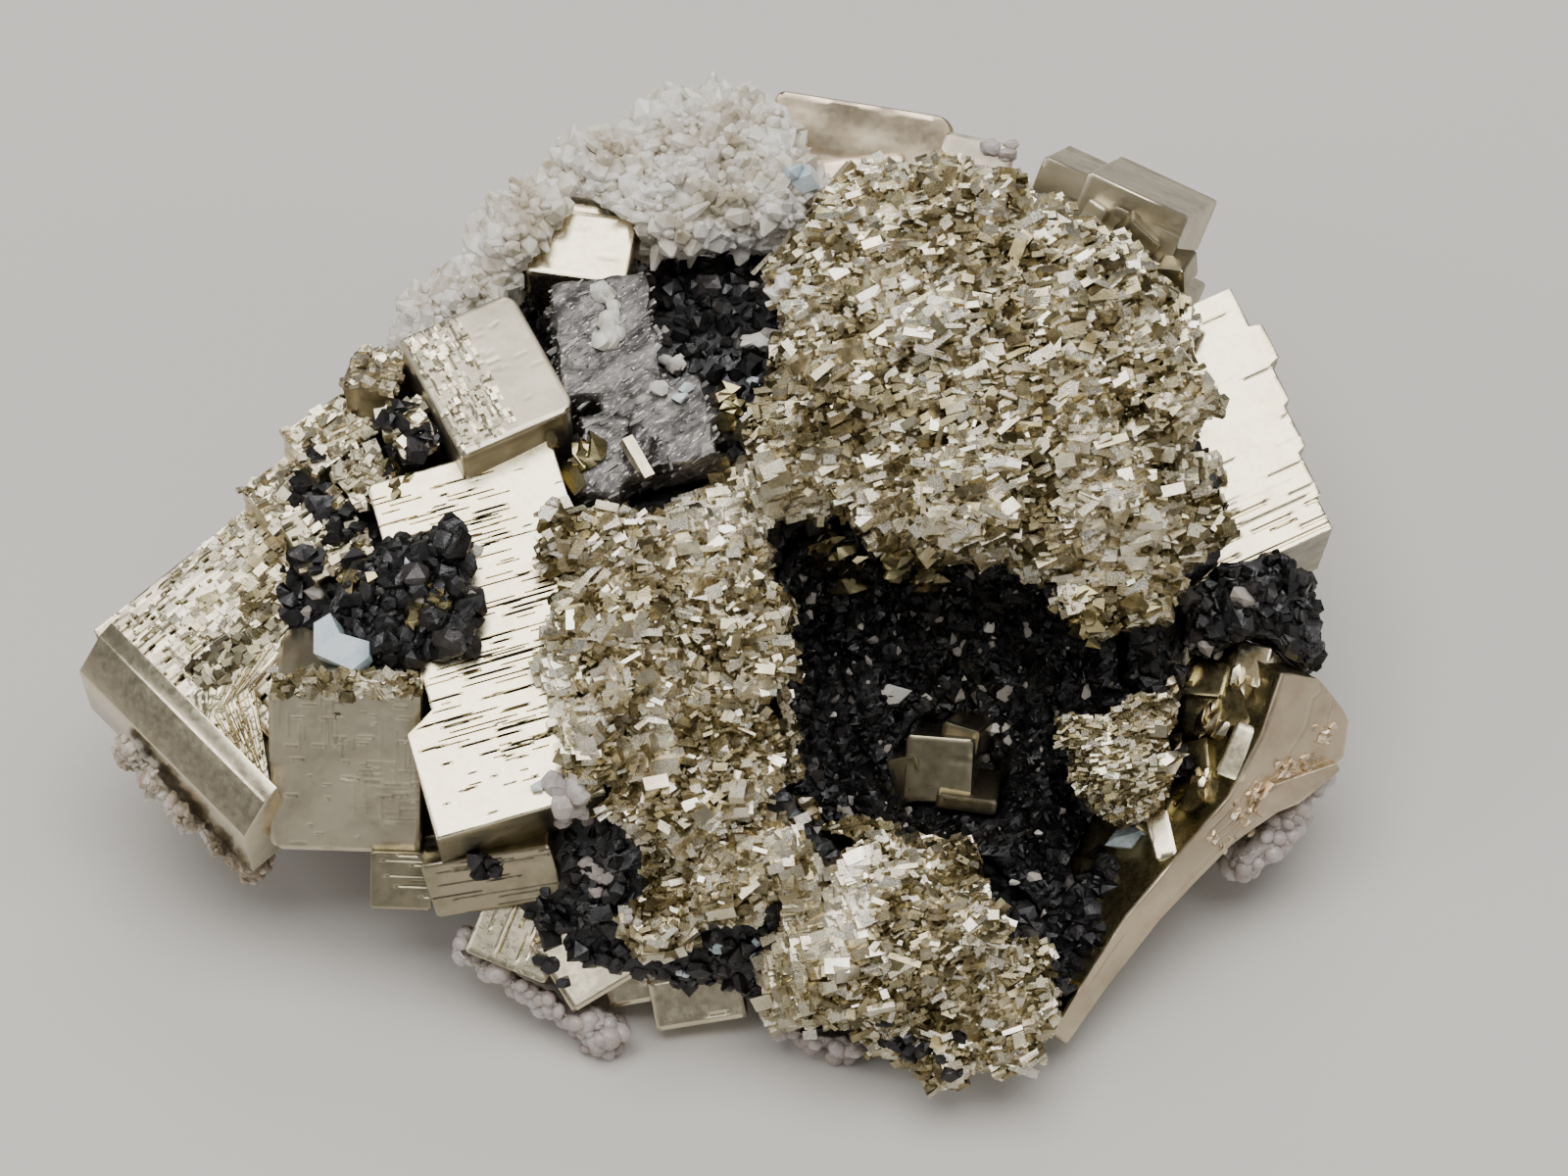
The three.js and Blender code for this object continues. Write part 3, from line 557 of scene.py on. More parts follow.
def makeLeftCubes(own):
    random = np.random.default_rng(own["seed"])
    grown = Grown()
    broadPlace = placed(own["broad"])
    addBlock(grown, own["broad"], own["broadFace"], random)
    addBevel(grown, broadPlace, own["bevel"], 0.6, 4)
    for grains in own["grains"]:
        sprinkle(grown, broadPlace, grains, random)
    addBlock(grown, own["low"], own["lowFace"], random)
    addBlock(grown, own["between"], own["broadFace"], random)
    addBlock(grown, own["tall"], own["tallFace"], random)
    sprinkle(grown, placed(own["low"]), own["lowGrains"], random)
    return grown.toObject("leftCubes", own["materials"])


finishPiece(makeLeftCubes(leftCubes), "pyrite_crystal", "left_cube_cluster")


def layered(length, depth, layers):
    # a crystal that grew in layers: each layer's rise and how far its right end reaches
    start, edge = 0, []
    for rise, end in layers:
        edge += [(end, start + 0.05), (end, start + rise - 0.05)]
        start += rise
    return {"size": (length, start, depth), "outline": [(-length, 0), *edge, (-length, start)]}


# Groups of square crystals that need only their places, a look and their materials
smoothFace = {
    **plainFace, "cell": (0.3, 0.2), "rim": 0.22,
    "marks": [mark(everywhere, 6, (0.4, 2), (0.01, 0.04), thick=0.1, dark=0.3)]}
roughFace = {
    **plainFace, "cell": (0.2, 0.12), "ribs": 0.12, "wallCell": 0.28,
    "steps": {"pitch": 0.3, "run": (0.3, 1.6), "lift": 0.1},
    "marks": [mark(everywhere, 1.1, (0.2, 1), (0.06, 0.16), dark=0.7)]}
striatedFace = {
    **plainFace, "cell": (0.2, 0.08), "rim": 0.16, "ribs": 0.12, "wallCell": 0.22,
    "marks": [
        mark(everywhere, 0.5, (1, 6), (0.02, 0.08), pitch=0.3, thick=0.2, dark=0.3),
        mark((-0.5, 0.6, 0.96, 0.96), 0.4, (0.3, 1.5), (0.05, 0.14), dark=0.5)]}
uprightFace = {
    **plainFace, "cell": (0.08, 0.2), "rim": 0.16, "ribs": 0.1, "wallCell": 0.25,
    "marks": [
        mark(everywhere, 0.4, (0.8, 4), (0.03, 0.12), pitch=0.26, thick=0.2, dark=0.3, upright=True)]}
crystalGroups = {
    "upperLeftCube": {
        "seed": 21, "materials": [greyPyrite, brightPyrite],
        "blocks": [crystal((-17, 12.3, 1.15), (7.2, 8.7, 8), 26.7, -28, corners=(0.3, 0.9, 0.9, 0.3))],
        "look": {
            **plainFace, "cell": (0.09, 0.12), "rim": 0.25, "ribs": 0.1,
            "marks": [
                mark(
                    (-0.95, -0.95, 0, 0.95), 0.4, (0.3, 1.6), (0.03, 0.1), pitch=0.3, thick=0.2, dark=0.3,
                    upright=True),
                mark((-0.95, -0.95, 0, 0.95), 1.2, (0.1, 0.5), (0.04, 0.12), dark=0.4),
                mark((0, -0.95, 0.95, 0.95), 3, (0.2, 1), (0.01, 0.03), dark=0.15)]},
        "grains": {
            "zone": (-3.4, -4.1, 0.1, 4.1), "count": 150, "size": (0.15, 0.5), "tumble": 8, "slot": 1,
            "roll": 90, "thick": 0.4, "tint": (0.5, 0.9)}},
    "backBrightCube": {
        "seed": 22, "materials": [brightPyrite],
        "blocks": stepped(
            (-12, 20.4, -8), (-8, -22, 0),
            [
                ((0, -0.15, 0), (6.2, 4.4, 5), 0), ((2.2, -2.5, -0.2), (2, 2.8, 4), 0),
                ((-0.4, 1, -0.3), (3.2, 3.4, 4.5), 0)],
            corners=(0.5, 0.7, 0.9, 0.9)),
        "look": smoothFace},
    "upperRightCubes": {
        "seed": 23, "materials": [duskyPyrite, greyPyrite],
        "blocks": [
            *stepped(
                (20.2, 21.6, -7), (-26, 12, -19),
                [
                    ((0, 0, 0), (6.6, 3.4, 7), 1), ((0.3, -2.6, 1.1), (6.2, 2.6, 7), 0),
                    ((3, -4.6, 0.2), (3.6, 3.4, 6), 0), ((2.6, -7.4, 0.6), (2.8, 2.4, 5), 0),
                    ((-4.4, -0.5, -1), (3.8, 3.4, 5), 1)]),
            crystal((20.6, 20.2, -5.6), (2.4, 1.8, 2.4), -44, 24, -4),
            crystal((22.5, 17.9, -5.6), (1.9, 1.7, 2.6), -8, 30, -24),
            crystal((18.1, 22, -6.4), (1.4, 1.2, 2), -34, 4, -20, slot=1),
            crystal((23.8, 14.7, -6.1), (1.4, 1.1, 2), -30, 8, -12)],
        "look": {
            **plainFace, "rim": 0.12, "wave": 0.012, "ribs": 0.06,
            "marks": [mark(everywhere, 1.6, (0.6, 3), (0.01, 0.05), pitch=0.3, thick=0.1, dark=0.25)]}},
    "rightPlate": {
        "node": "right_plate_crystal", "seed": 24, "materials": [satinPyrite, olivePyrite, facetPyrite],
        "blocks": [
            # the plate's walls take the olive material: painted shade on its sides
            crystal(
                (22.5, -14.7, 0.2), (7.6, 25.6, 8), -31, 17.5, 31.7, wallSlot=1,
                outline=[
                    (0.4, -13), (1.8, -13), (1.9, -9), (2.3, -4), (3.5, 2), (5.6, 6.2), (6.8, 10),
                    (5.4, 12), (1.8, 12.6), (-0.8, 11.6), (0.6, 8), (1.2, 4), (0, -5)]),
            crystal((25.1, -7, -3.2), (4.6, 2.6, 4), 10, -20, -34, slot=1),
            crystal((26.2, -9.4, -1.2), (1.8, 3.4, 3), -20, -16, -20, slot=2),
            crystal((26.9, -4.4, -2.2), (2.2, 2.6, 3), -10, -20, -26, slot=2),
            crystal((21.7, -14.2, -0.9), (1.4, 3, 1.8), 16, -14, -16, slot=2),
            crystal(
                (22.8, -14.9, 0.6), (3.8, 5.2, 2), -31, 17.5, 31.7,
                outline=[(3.2, 4.2), (3.8, 4.2), (5.5, 6.2), (6.6, 9.2), (6, 9.4), (3, 6.2), (2.8, 5)]),
            crystal((24.1, -11.9, -2.1), (2.4, 2.4, 2), -10, -26, -30, slot=1),
            crystal((23.2, -10.3, -3.5), (3.4, 3, 4), 20, -24, -36, slot=1),
            crystal((24.4, -5.2, -4.2), (3, 2.4, 3), -4, -30, -24, slot=1),
            crystal((21.4, -13, -2.6), (1.6, 2.6, 3), -24, -20, -30, slot=1)],
        "look": {
            **plainFace, "cell": (0.14, 0.3), "rim": 0.18, "ribs": 0.04, "wallCell": 0.5, "wave": 0.016,
            "marks": [mark(everywhere, 1.6, (3, 9), (0.008, 0.02), thick=0.1, dark=0.05, upright=True)]}},
    "leftSmallCrystals": {
        "seed": 25, "materials": [pittedPyrite, duskyPyrite],
        "blocks": [
            crystal((-23.6, 12.6, -1.6), (3.4, 3.2, 5), -6, -46, -10, slot=1),
            crystal((-26.2, 9, -1.8), (4.6, 3.6, 6), 40, -32),
            crystal((-28.6, 5.6, -2.4), (4.2, 4, 6), 42, -28),
            crystal((-24, 6.4, 0), (3, 3, 5), 36, -12, slot=1),
            crystal((-26.2, 3, 0.2), (4, 4.4, 5), 30, -20, slot=1),
            crystal((-21.4, 9.2, 0.4), (2.4, 3.4, 4), 24, -24, slot=1)],
        "look": roughFace, "grains": {"count": 60, "size": (0.25, 0.9), "tumble": 30, "tint": (0.1, 0.8)}},
    "frontCubes": {
        "seed": 26, "materials": [duskyPyrite, pittedPyrite, facetPyrite],
        "blocks": [
            crystal((-21.9, -16.8, 1.2), (3.6, 3.6, 6), -2, 22, look=striatedFace),
            crystal((-16.6, -16.8, 2), (7.6, 4, 6), 12, 38, look=striatedFace),
            crystal((-15.2, -19.8, 0.6), (5, 4.2, 7), -22, -6, slot=1, look=uprightFace),
            crystal((-11.4, -21.4, 0.8), (4.4, 4.8, 7), 32, 14, 8, slot=2),
            crystal((-8, -22.2, -1), (5, 3.8, 6), 10, 20, slot=2),
            crystal((-5, -23.7, -1), (5.4, 3.4, 5), 10, 20, slot=2)],
        "look": {**smoothFace, "cell": (0.2, 0.15), "rim": 0.3}},
    "backPyriteBlocks": {
        "seed": 27, "materials": [satinPyrite, greyPyrite],
        "blocks": [
            crystal((4.6, 26.6, -14), (11, 5, 4), -9, 4, corners=(0.3, 0.4, 1.2, 0.6)),
            crystal((11.4, 25.4, -11.5), (4.4, 3, 6), -12, -6, corners=(0.3, 0.3, 0.6, 0.5), slot=1),
            crystal((4, 23.4, -13), (7, 5, 6), 6, -10)],
        "look": {**smoothFace, "rim": 0.25, "wave": 0.03, "ribs": 0.12, "wallCell": 0.25}},
    "hollowPyriteCube": {
        "seed": 28, "materials": [duskyPyrite],
        "blocks": [
            crystal((9, -10.6, -4.6), (4, 3.9, 5), -4, 5, -10),
            crystal((10.6, -12.6, -4), (3.6, 1, 4), -8, 24, -6),
            crystal((7.2, -11.2, -5.2), (2, 2.8, 4), 12, 16, -20),
            crystal((10.2, -9, -5.4), (2.4, 2, 4), -16, 14, -22)],
        "look": {**smoothFace, "rim": 0.14}},
    "rightSteppedCube": {
        "seed": 31, "materials": [brightPyrite, duskyPyrite],
        "blocks": [
            # its walls take the dusky material: painted shade on the crystal's sides
            {
                "face": (32, 3.4, -4), "turns": (25, -15, 0), "wallSlot": 1,
                **layered(12, 9, [(2.2, 0), (3, 0.3), (2.9, 0.8), (2.6, 1.2), (2.4, 1.8), (2.8, 1.1)])}],
        "look": {
            **plainFace, "cell": (0.35, 0.1), "ribs": 0.05,
            "marks": [
                mark(
                    (-0.96, -0.96, 0.96, -0.55), 0.5, (1, 6), (0.04, 0.12), pitch=0.5, thick=0.7,
                    dark=0.18),
                mark((-0.96, -0.55, 0.96, 0.9), 4, (1, 4), (0.02, 0.05), thick=0.3, dark=0.1)]}}}


def makeGroup(name, own):
    random = np.random.default_rng(own["seed"])
    grown = Grown()
    for block in own["blocks"]:
        addBlock(grown, block, block.get("look", own["look"]), random)
        if "grains" in own:
            half = [side / 2 for side in block["size"][:2]]
            sprinkle(grown, placed(block), {"zone": (-half[0], -half[1], *half), **own["grains"]}, random)
    return grown.toObject(name, own["materials"])


for name, own in crystalGroups.items():
    finishPiece(makeGroup(name, own), "pyrite_crystal", nodeOf(name, own))
print("square crystals made")


# Grown skins: what repeats over a surface

def shapeCollection(name, shapes, smooth=False):
    # the shapes, each a list of points and one of faces, as objects that a skin picks from
    holder = bpy.data.collections.new(name)
    for kind, (points, faces) in enumerate(shapes):
        mesh = bpy.data.meshes.new(f"{name}{kind}")
        mesh.from_pydata(points, [], faces)
        mesh.polygons.foreach_set("use_smooth", [smooth] * len(faces))
        mesh.update()
        holder.objects.link(bpy.data.objects.new(f"{name}{kind}", mesh))
    return holder


# small crystals, one unit long: each is one slab or two, given by their lowest and highest corners
druseCrystals = {
    "name": "druseCrystals", "lie": (12, -16, 0),
    "kinds": [
        [((-0.5, -0.16, -0.3), (0.5, 0.16, 0.22))], [((-0.45, -0.2, -0.3), (0.45, 0.2, 0.26))],
        [((-0.6, -0.12, -0.3), (0.6, 0.12, 0.2))],
        [((-0.5, -0.24, -0.3), (0.38, 0.0, 0.26)), ((-0.36, 0.0, -0.3), (0.5, 0.22, 0.16))],
        [((-0.3, -0.26, -0.3), (0.3, 0.26, 0.3))]]}
greyBlades = {
    "name": "greyBlades", "lie": (38, -22, 0),
    "kinds": [
        [((-0.7, -0.1, -0.2), (0.7, 0.1, 0.05))], [((-0.5, -0.16, -0.2), (0.5, 0.16, 0.04))],
        [((-0.4, -0.08, -0.2), (0.4, 0.08, 0.09))]]}


def slabShapes(own):
    lie = showMatrix.to_3x3() @ turned(*own["lie"]).to_3x3()
    shapes = []
    for slabs in own["kinds"]:
        points, faces = [], []
        for low, high in slabs:
            faces += [[len(points) + i for i in face] for face in boxFaces]
            points += [lie @ Vector(corner) for corner in boxCorners(low, high)]
        shapes.append((points, faces))
    return shapeCollection(own["name"], shapes)


def stoneShapes(name, seed, corners, squash):
    random = np.random.default_rng(seed)
    return shapeCollection(name, [stone(random, corners, squash) for _ in range(4)])


def prismShapes(name, seed):
    # short quartz points: six sides and a blunt tip
    random = np.random.default_rng(seed)
    shapes = []
    for _ in range(4):
        width, length, tip = random.uniform(0.2, 0.34), random.uniform(0.3, 0.5), random.uniform(0.5, 0.62)
        rings = [(width, -0.35), (width, length - 0.2), (0.06, tip)]
        points = [(r * math.cos(math.radians(60 * i)), r * math.sin(math.radians(60 * i)), z)
                  for r, z in rings for i in range(6)]
        faces = [list(range(5, -1, -1)), list(range(12, 18))]
        for ring in (0, 6):
            for i in range(6):
                j = (i + 1) % 6
                faces.append((ring + i, ring + j, ring + 6 + j, ring + 6 + i))
        shapes.append((points, faces))
    return shapeCollection(name, shapes)


# what a skin draws by chance for each crystal, between two limits
crystalChances = {
    "gentleTurn": ("FLOAT_VECTOR", -1, 1), "wildTurn": ("FLOAT_VECTOR", -3.14, 3.14),
    "wildness": ("FLOAT", 0, 1), "size": ("FLOAT", 0, 1), "stretch": ("FLOAT_VECTOR", 0.75, 1.25),
    "tint": ("FLOAT", 0, 1)}


def skinTree(name, shapes, material):
    # Geometry Nodes: spreads crystals over a surface where its growth attribute allows, and keeps it
    tree = bpy.data.node_groups.new(name, "GeometryNodeTree")
    tree.interface.new_socket("Geometry", in_out="OUTPUT", socket_type="NodeSocketGeometry")
    for label, kind in (("Geometry", "Geometry"), ("Least distance", "Float"), ("Least size", "Float"),
                        ("Greatest size", "Float"), ("Tumble", "Float"), ("Wild share", "Float"),
                        ("Along surface", "Float"), ("Seed", "Int")):
        tree.interface.new_socket(label, in_out="INPUT", socket_type="NodeSocket" + kind)
    given = addNode(tree, "NodeGroupInput").outputs
    growth = addNode(tree, "GeometryNodeInputNamedAttribute", {"data_type": "FLOAT"}, Name="growth")
    spread = addNode(tree, "GeometryNodeDistributePointsOnFaces", {"distribute_method": "POISSON"},
                     Mesh=given["Geometry"], Distance_Min=given["Least distance"], Density_Max=3.0e7,
                     Density_Factor=growth, Seed=given["Seed"])
    chance = {}
    for more, (label, (kind, low, high)) in enumerate(crystalChances.items(), 1):
        seed = addNode(tree, "ShaderNodeMath", {"operation": "ADD"}, i0=given["Seed"], i1=more)
        number = kind == "FLOAT"
        limits = {"i2": low, "i3": high} if number else {"i0": (low,) * 3, "i1": (high,) * 3}
        draw = addNode(tree, "FunctionNodeRandomValue", {"data_type": kind}, Seed=seed, **limits)
        chance[label] = draw.outputs[1 if number else 0]
    gentle = addNode(tree, "ShaderNodeVectorMath", {"operation": "SCALE"}, i0=chance["gentleTurn"],
                     Scale=given["Tumble"])
    isWild = addNode(tree, "FunctionNodeCompare", {"data_type": "FLOAT", "operation": "LESS_THAN"},
                     i0=chance["wildness"], i1=given["Wild share"])
    turn = addNode(tree, "GeometryNodeSwitch", {"input_type": "VECTOR"}, i0=isWild, i1=gentle,
                   i2=chance["wildTurn"])
    upright = addNode(tree, "FunctionNodeAlignRotationToVector", {"axis": "Z"}, i0=turn,
                      Factor=given["Along surface"], Vector=spread.outputs["Normal"])
    mostlySmall = addNode(tree, "ShaderNodeMath", {"operation": "POWER"}, i0=chance["size"], i1=1.7)
    size = addNode(tree, "ShaderNodeMapRange", i0=mostlySmall, i3=given["Least size"],
                   i4=given["Greatest size"])
    shape = addNode(tree, "ShaderNodeVectorMath", {"operation": "SCALE"}, i0=chance["stretch"], Scale=size)
    source = addNode(tree, "GeometryNodeCollectionInfo", Collection=shapes, Separate_Children=True,
                     Reset_Children=True)
    crystals = addNode(tree, "GeometryNodeInstanceOnPoints", Points=spread, Instance=source,
                       Pick_Instance=True, Rotation=upright, Scale=shape)
    coloured = addNode(tree, "GeometryNodeStoreNamedAttribute", {"data_type": "FLOAT", "domain": "INSTANCE"},
                       Geometry=crystals, Name="tint", Value=chance["tint"])
    joined = addNode(tree, "GeometryNodeJoinGeometry", Geometry=given["Geometry"])
    feed(tree, joined, {"Geometry": coloured})
    real = addNode(tree, "GeometryNodeRealizeInstances", Geometry=joined)
    finished = addNode(tree, "GeometryNodeSetMaterial", Geometry=real, Material=material)
    addNode(tree, "NodeGroupOutput", Geometry=finished)
    return tree


def solidCopy(node):
    # a merged copy of a CAD node's mesh
    merged = bmesh.new()
    merged.from_mesh(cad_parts[node].data)
    bmesh.ops.remove_doubles(merged, verts=merged.verts, dist=0.002 * mm)
    mesh = bpy.data.meshes.new(node + "Copy")
    merged.to_mesh(mesh)
    merged.free()
    return mesh


def plainResult(item):
    # the evaluated object as a plain mesh, with its modifiers gone
    depsgraph = bpy.context.evaluated_depsgraph_get()
    found = item.evaluated_get(depsgraph)
    mesh = bpy.data.meshes.new_from_object(found, preserve_all_data_layers=True, depsgraph=depsgraph)
    item.modifiers.clear()
    item.data = mesh


solidTrees = {name: BVHTree.FromPolygons([v.co.copy() for v in node.data.vertices],
                                         [tuple(p.vertices) for p in node.data.polygons])
              for name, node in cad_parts.items()}
solidBoxes = {name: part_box(name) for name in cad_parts}


def clearance(point, own, reach):
    # how far a point is from the nearest other solid, up to reach
    nearest = reach
    for name, tree in solidTrees.items():
        low, high = solidBoxes[name]
        if name == own or any(point[k] < low[k] - reach or point[k] > high[k] + reach for k in range(3)):
            continue
        found = tree.find_nearest(point, nearest)
        if found[0] is not None:
            nearest = min(nearest, found[3])
    return nearest


# what all skins have, in mm: how far they look for a neighbour, how near one stops the crystals, over what
# width they fade, and the height of the plain foot; then shares of the lumps: the deepest, and finer ones
skinRules = {"reach": 0.9, "hug": 0.42, "fade": 0.2, "foot": 0.5, "deepest": -0.3, "finerSize": 0.35,
             "finerHeight": 0.45}


def lumpsAt(point, own):
    # how far a skin's surface goes out at a point, in mm
    seed, size = own["seed"], own["lumpSize"]
    lumps = max(skinRules["deepest"], noise.noise(point / (size * mm) + Vector((seed, 0, 0))))
    finer = noise.noise(point / (skinRules["finerSize"] * size * mm) + Vector((0, seed, 0)))
    return own["lumpHeight"] * (lumps + skinRules["finerHeight"] * finer) - own["sink"]


def growSkin(name, own):
    # a node's form, made lumpy, with its crystals on it
    node, foot = nodeOf(name, own), skinRules["foot"]
    item = bringIn(name, solidCopy(node))
    remesh = item.modifiers.new("voxels", "REMESH")
    remesh.mode = "VOXEL"
    remesh.voxel_size = own["voxel"] * mm
    smooth = item.modifiers.new("worn", "SMOOTH")
    smooth.factor = 0.5
    smooth.iterations = own.get("worn", 3)
    plainResult(item)
    mesh = item.data
    normals = [v.normal.copy() for v in mesh.vertices]
    growth = []
    for v, normal in zip(mesh.vertices, normals):
        height = v.co.z / mm
        free = clearance(v.co, node, skinRules["reach"] * mm) / mm
        lying = min(1, max(0, (height - foot) / foot))
        v.co += normal * lumpsAt(v.co, own) * mm * min(1, free) * lying
        room = min(1, max(0, (free - skinRules["hug"]) / skinRules["fade"]))
        growth.append(room if height > foot else 0)
    attribute = mesh.attributes.new("growth", "FLOAT", "POINT")
    attribute.data.foreach_set("value", growth)
    modifier = item.modifiers.new("crystals", "NODES")
    modifier.node_group = own["tree"]
    least, greatest = own["size"]
    values = {"Least distance": own["distance"] * mm, "Least size": least * mm,
              "Greatest size": greatest * mm, "Tumble": math.radians(own["tumble"]),
              "Wild share": own["wild"], "Along surface": own.get("along", 0.0), "Seed": own["seed"]}
    for socket in own["tree"].interface.items_tree:
        if socket.in_out == "INPUT" and socket.name in values:
            modifier[socket.identifier] = values[socket.name]
    plainResult(item)
    finishPiece(item, own["slot"], node)


druseTree = skinTree("pyriteDruseSkin", slabShapes(druseCrystals), drusePyrite)
greyTree = skinTree("greySulphideSkin", slabShapes(greyBlades), greySulphide)
blackTree = skinTree("sphaleriteSkin", stoneShapes("sphaleriteGrains", 61, 16, (1, 0.9, 0.85)), sphalerite)
lumpTree = skinTree("sphaleriteLumps", stoneShapes("sphaleriteLumps", 66, 30, (1, 0.95, 0.8)), sphalerite)
speckledTree = skinTree("hollowSkin", stoneShapes("hollowGrains", 62, 12, (1, 0.8, 0.6)), speckledSphalerite)
quartzTree = skinTree("quartzSkin", prismShapes("quartzPoints", 64), quartz)
beadTree = skinTree("quartzBeadSkin", shapeCollection("quartzBeads", [bead()], smooth=True), beadQuartz)
edgeTree = skinTree("edgeQuartzSkin", stoneShapes("edgeQuartzGrains", 67, 20, (1, 0.9, 0.8)), stainedQuartz)

# sizes and distances in mm, tumble in degrees; what the skins of one mineral share comes first
druseSkin = {"tree": druseTree, "slot": "pyrite_druse", "voxel": 0.45, "sink": 0.3, "distance": 0.35,
             "tumble": 36, "wild": 0.25}
blackSkin = {"tree": blackTree, "slot": "sphalerite", "tumble": 180, "wild": 1.0}
quartzSkin = {"tree": beadTree, "slot": "quartz", "voxel": 0.3, "lumpSize": 1.2, "lumpHeight": 0.2,
              "sink": 0.6, "tumble": 90, "wild": 1.0}
skins = {
    "upperDruseKnob": {
        **druseSkin, "seed": 1, "voxel": 0.5, "lumpSize": 3.0, "lumpHeight": 1.0, "sink": 0.35,
        "size": (0.5, 1.6), "tumble": 30, "wild": 0.18},
    "middleDruseRidge": {**druseSkin, "seed": 2, "lumpSize": 2.4, "lumpHeight": 0.9, "size": (0.45, 1.5)},
    "lowerDruseKnob": {**druseSkin, "seed": 3, "lumpSize": 2.2, "lumpHeight": 0.8, "size": (0.42, 1.4)},
    "smallDruseBall": {
        **druseSkin, "seed": 4, "voxel": 0.35, "lumpSize": 1.6, "lumpHeight": 0.3, "sink": 0.2,
        "distance": 0.3, "size": (0.4, 0.9), "tumble": 26, "wild": 0.12},
    "sphaleriteBody": {
        **blackSkin, "seed": 5, "voxel": 0.7, "lumpSize": 3.2, "lumpHeight": 0.6, "sink": 0.4,
        "distance": 0.8, "size": (0.7, 2.0), "worn": 2},
    "leftSphaleritePatch": {
        **blackSkin, "tree": lumpTree, "seed": 6, "voxel": 0.3, "lumpSize": 1.7, "lumpHeight": 0.6,
        "sink": 0.4, "distance": 0.6, "size": (0.7, 2.2)},
    "rightSphaleriteMass": {
        **blackSkin, "seed": 7, "voxel": 0.4, "lumpSize": 1.8, "lumpHeight": 0.4, "sink": 0.3,
        "distance": 0.6, "size": (0.6, 1.8)},
    "hollowCrystalCrust": {
        **blackSkin, "tree": speckledTree, "seed": 8, "voxel": 0.4, "lumpSize": 2.2, "lumpHeight": 0.7,
        "sink": 0.1, "distance": 0.42, "size": (0.35, 1.3)},
    "greySulphideMass": {
        "tree": greyTree, "slot": "grey_sulphide", "seed": 9, "voxel": 0.25, "lumpSize": 2.0,
        "lumpHeight": 0.35, "sink": 0.2, "distance": 0.75, "size": (0.3, 1.1), "tumble": 14, "wild": 0.05,
        "worn": 8},
    "backQuartzCrust": {
        **quartzSkin, "tree": quartzTree, "seed": 10, "voxel": 0.5, "lumpSize": 3.0, "lumpHeight": 0.8,
        "sink": 0.5, "distance": 0.5, "size": (0.7, 2.5), "tumble": 60, "wild": 0.5, "along": 0.5},
    "leftEdgeCrust": {
        **quartzSkin, "tree": edgeTree, "seed": 12, "lumpSize": 1.4, "lumpHeight": 0.5, "sink": 0.45,
        "distance": 0.35, "size": (0.4, 1.1)},
    "frontQuartzBeads": {**quartzSkin, "seed": 13, "distance": 0.6, "size": (0.7, 1.4)},
    "knobQuartzBeads": {**quartzSkin, "seed": 14, "distance": 0.75, "size": (0.8, 1.6)},
    "rightQuartzBeads": {
        **quartzSkin, "seed": 15, "voxel": 0.35, "lumpHeight": 0.3, "distance": 0.7, "size": (0.7, 1.6)}}

for name, own in skins.items():
    growSkin(name, own)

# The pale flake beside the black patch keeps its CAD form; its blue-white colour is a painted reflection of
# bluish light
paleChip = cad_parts["pale_chip"]
paleChip.data.materials.clear()
paleChip.data.materials.append(paintedReflectionQuartz)
print("skins grown")


# Single grains that stand out, each at a pixel of the photograph: where the camera's ray through it meets
# the solids. A group with a spread, in pixels, has several grains around each.
def alike(size, roll, *pixels):
    return [(pixel, size, roll) for pixel in pixels]


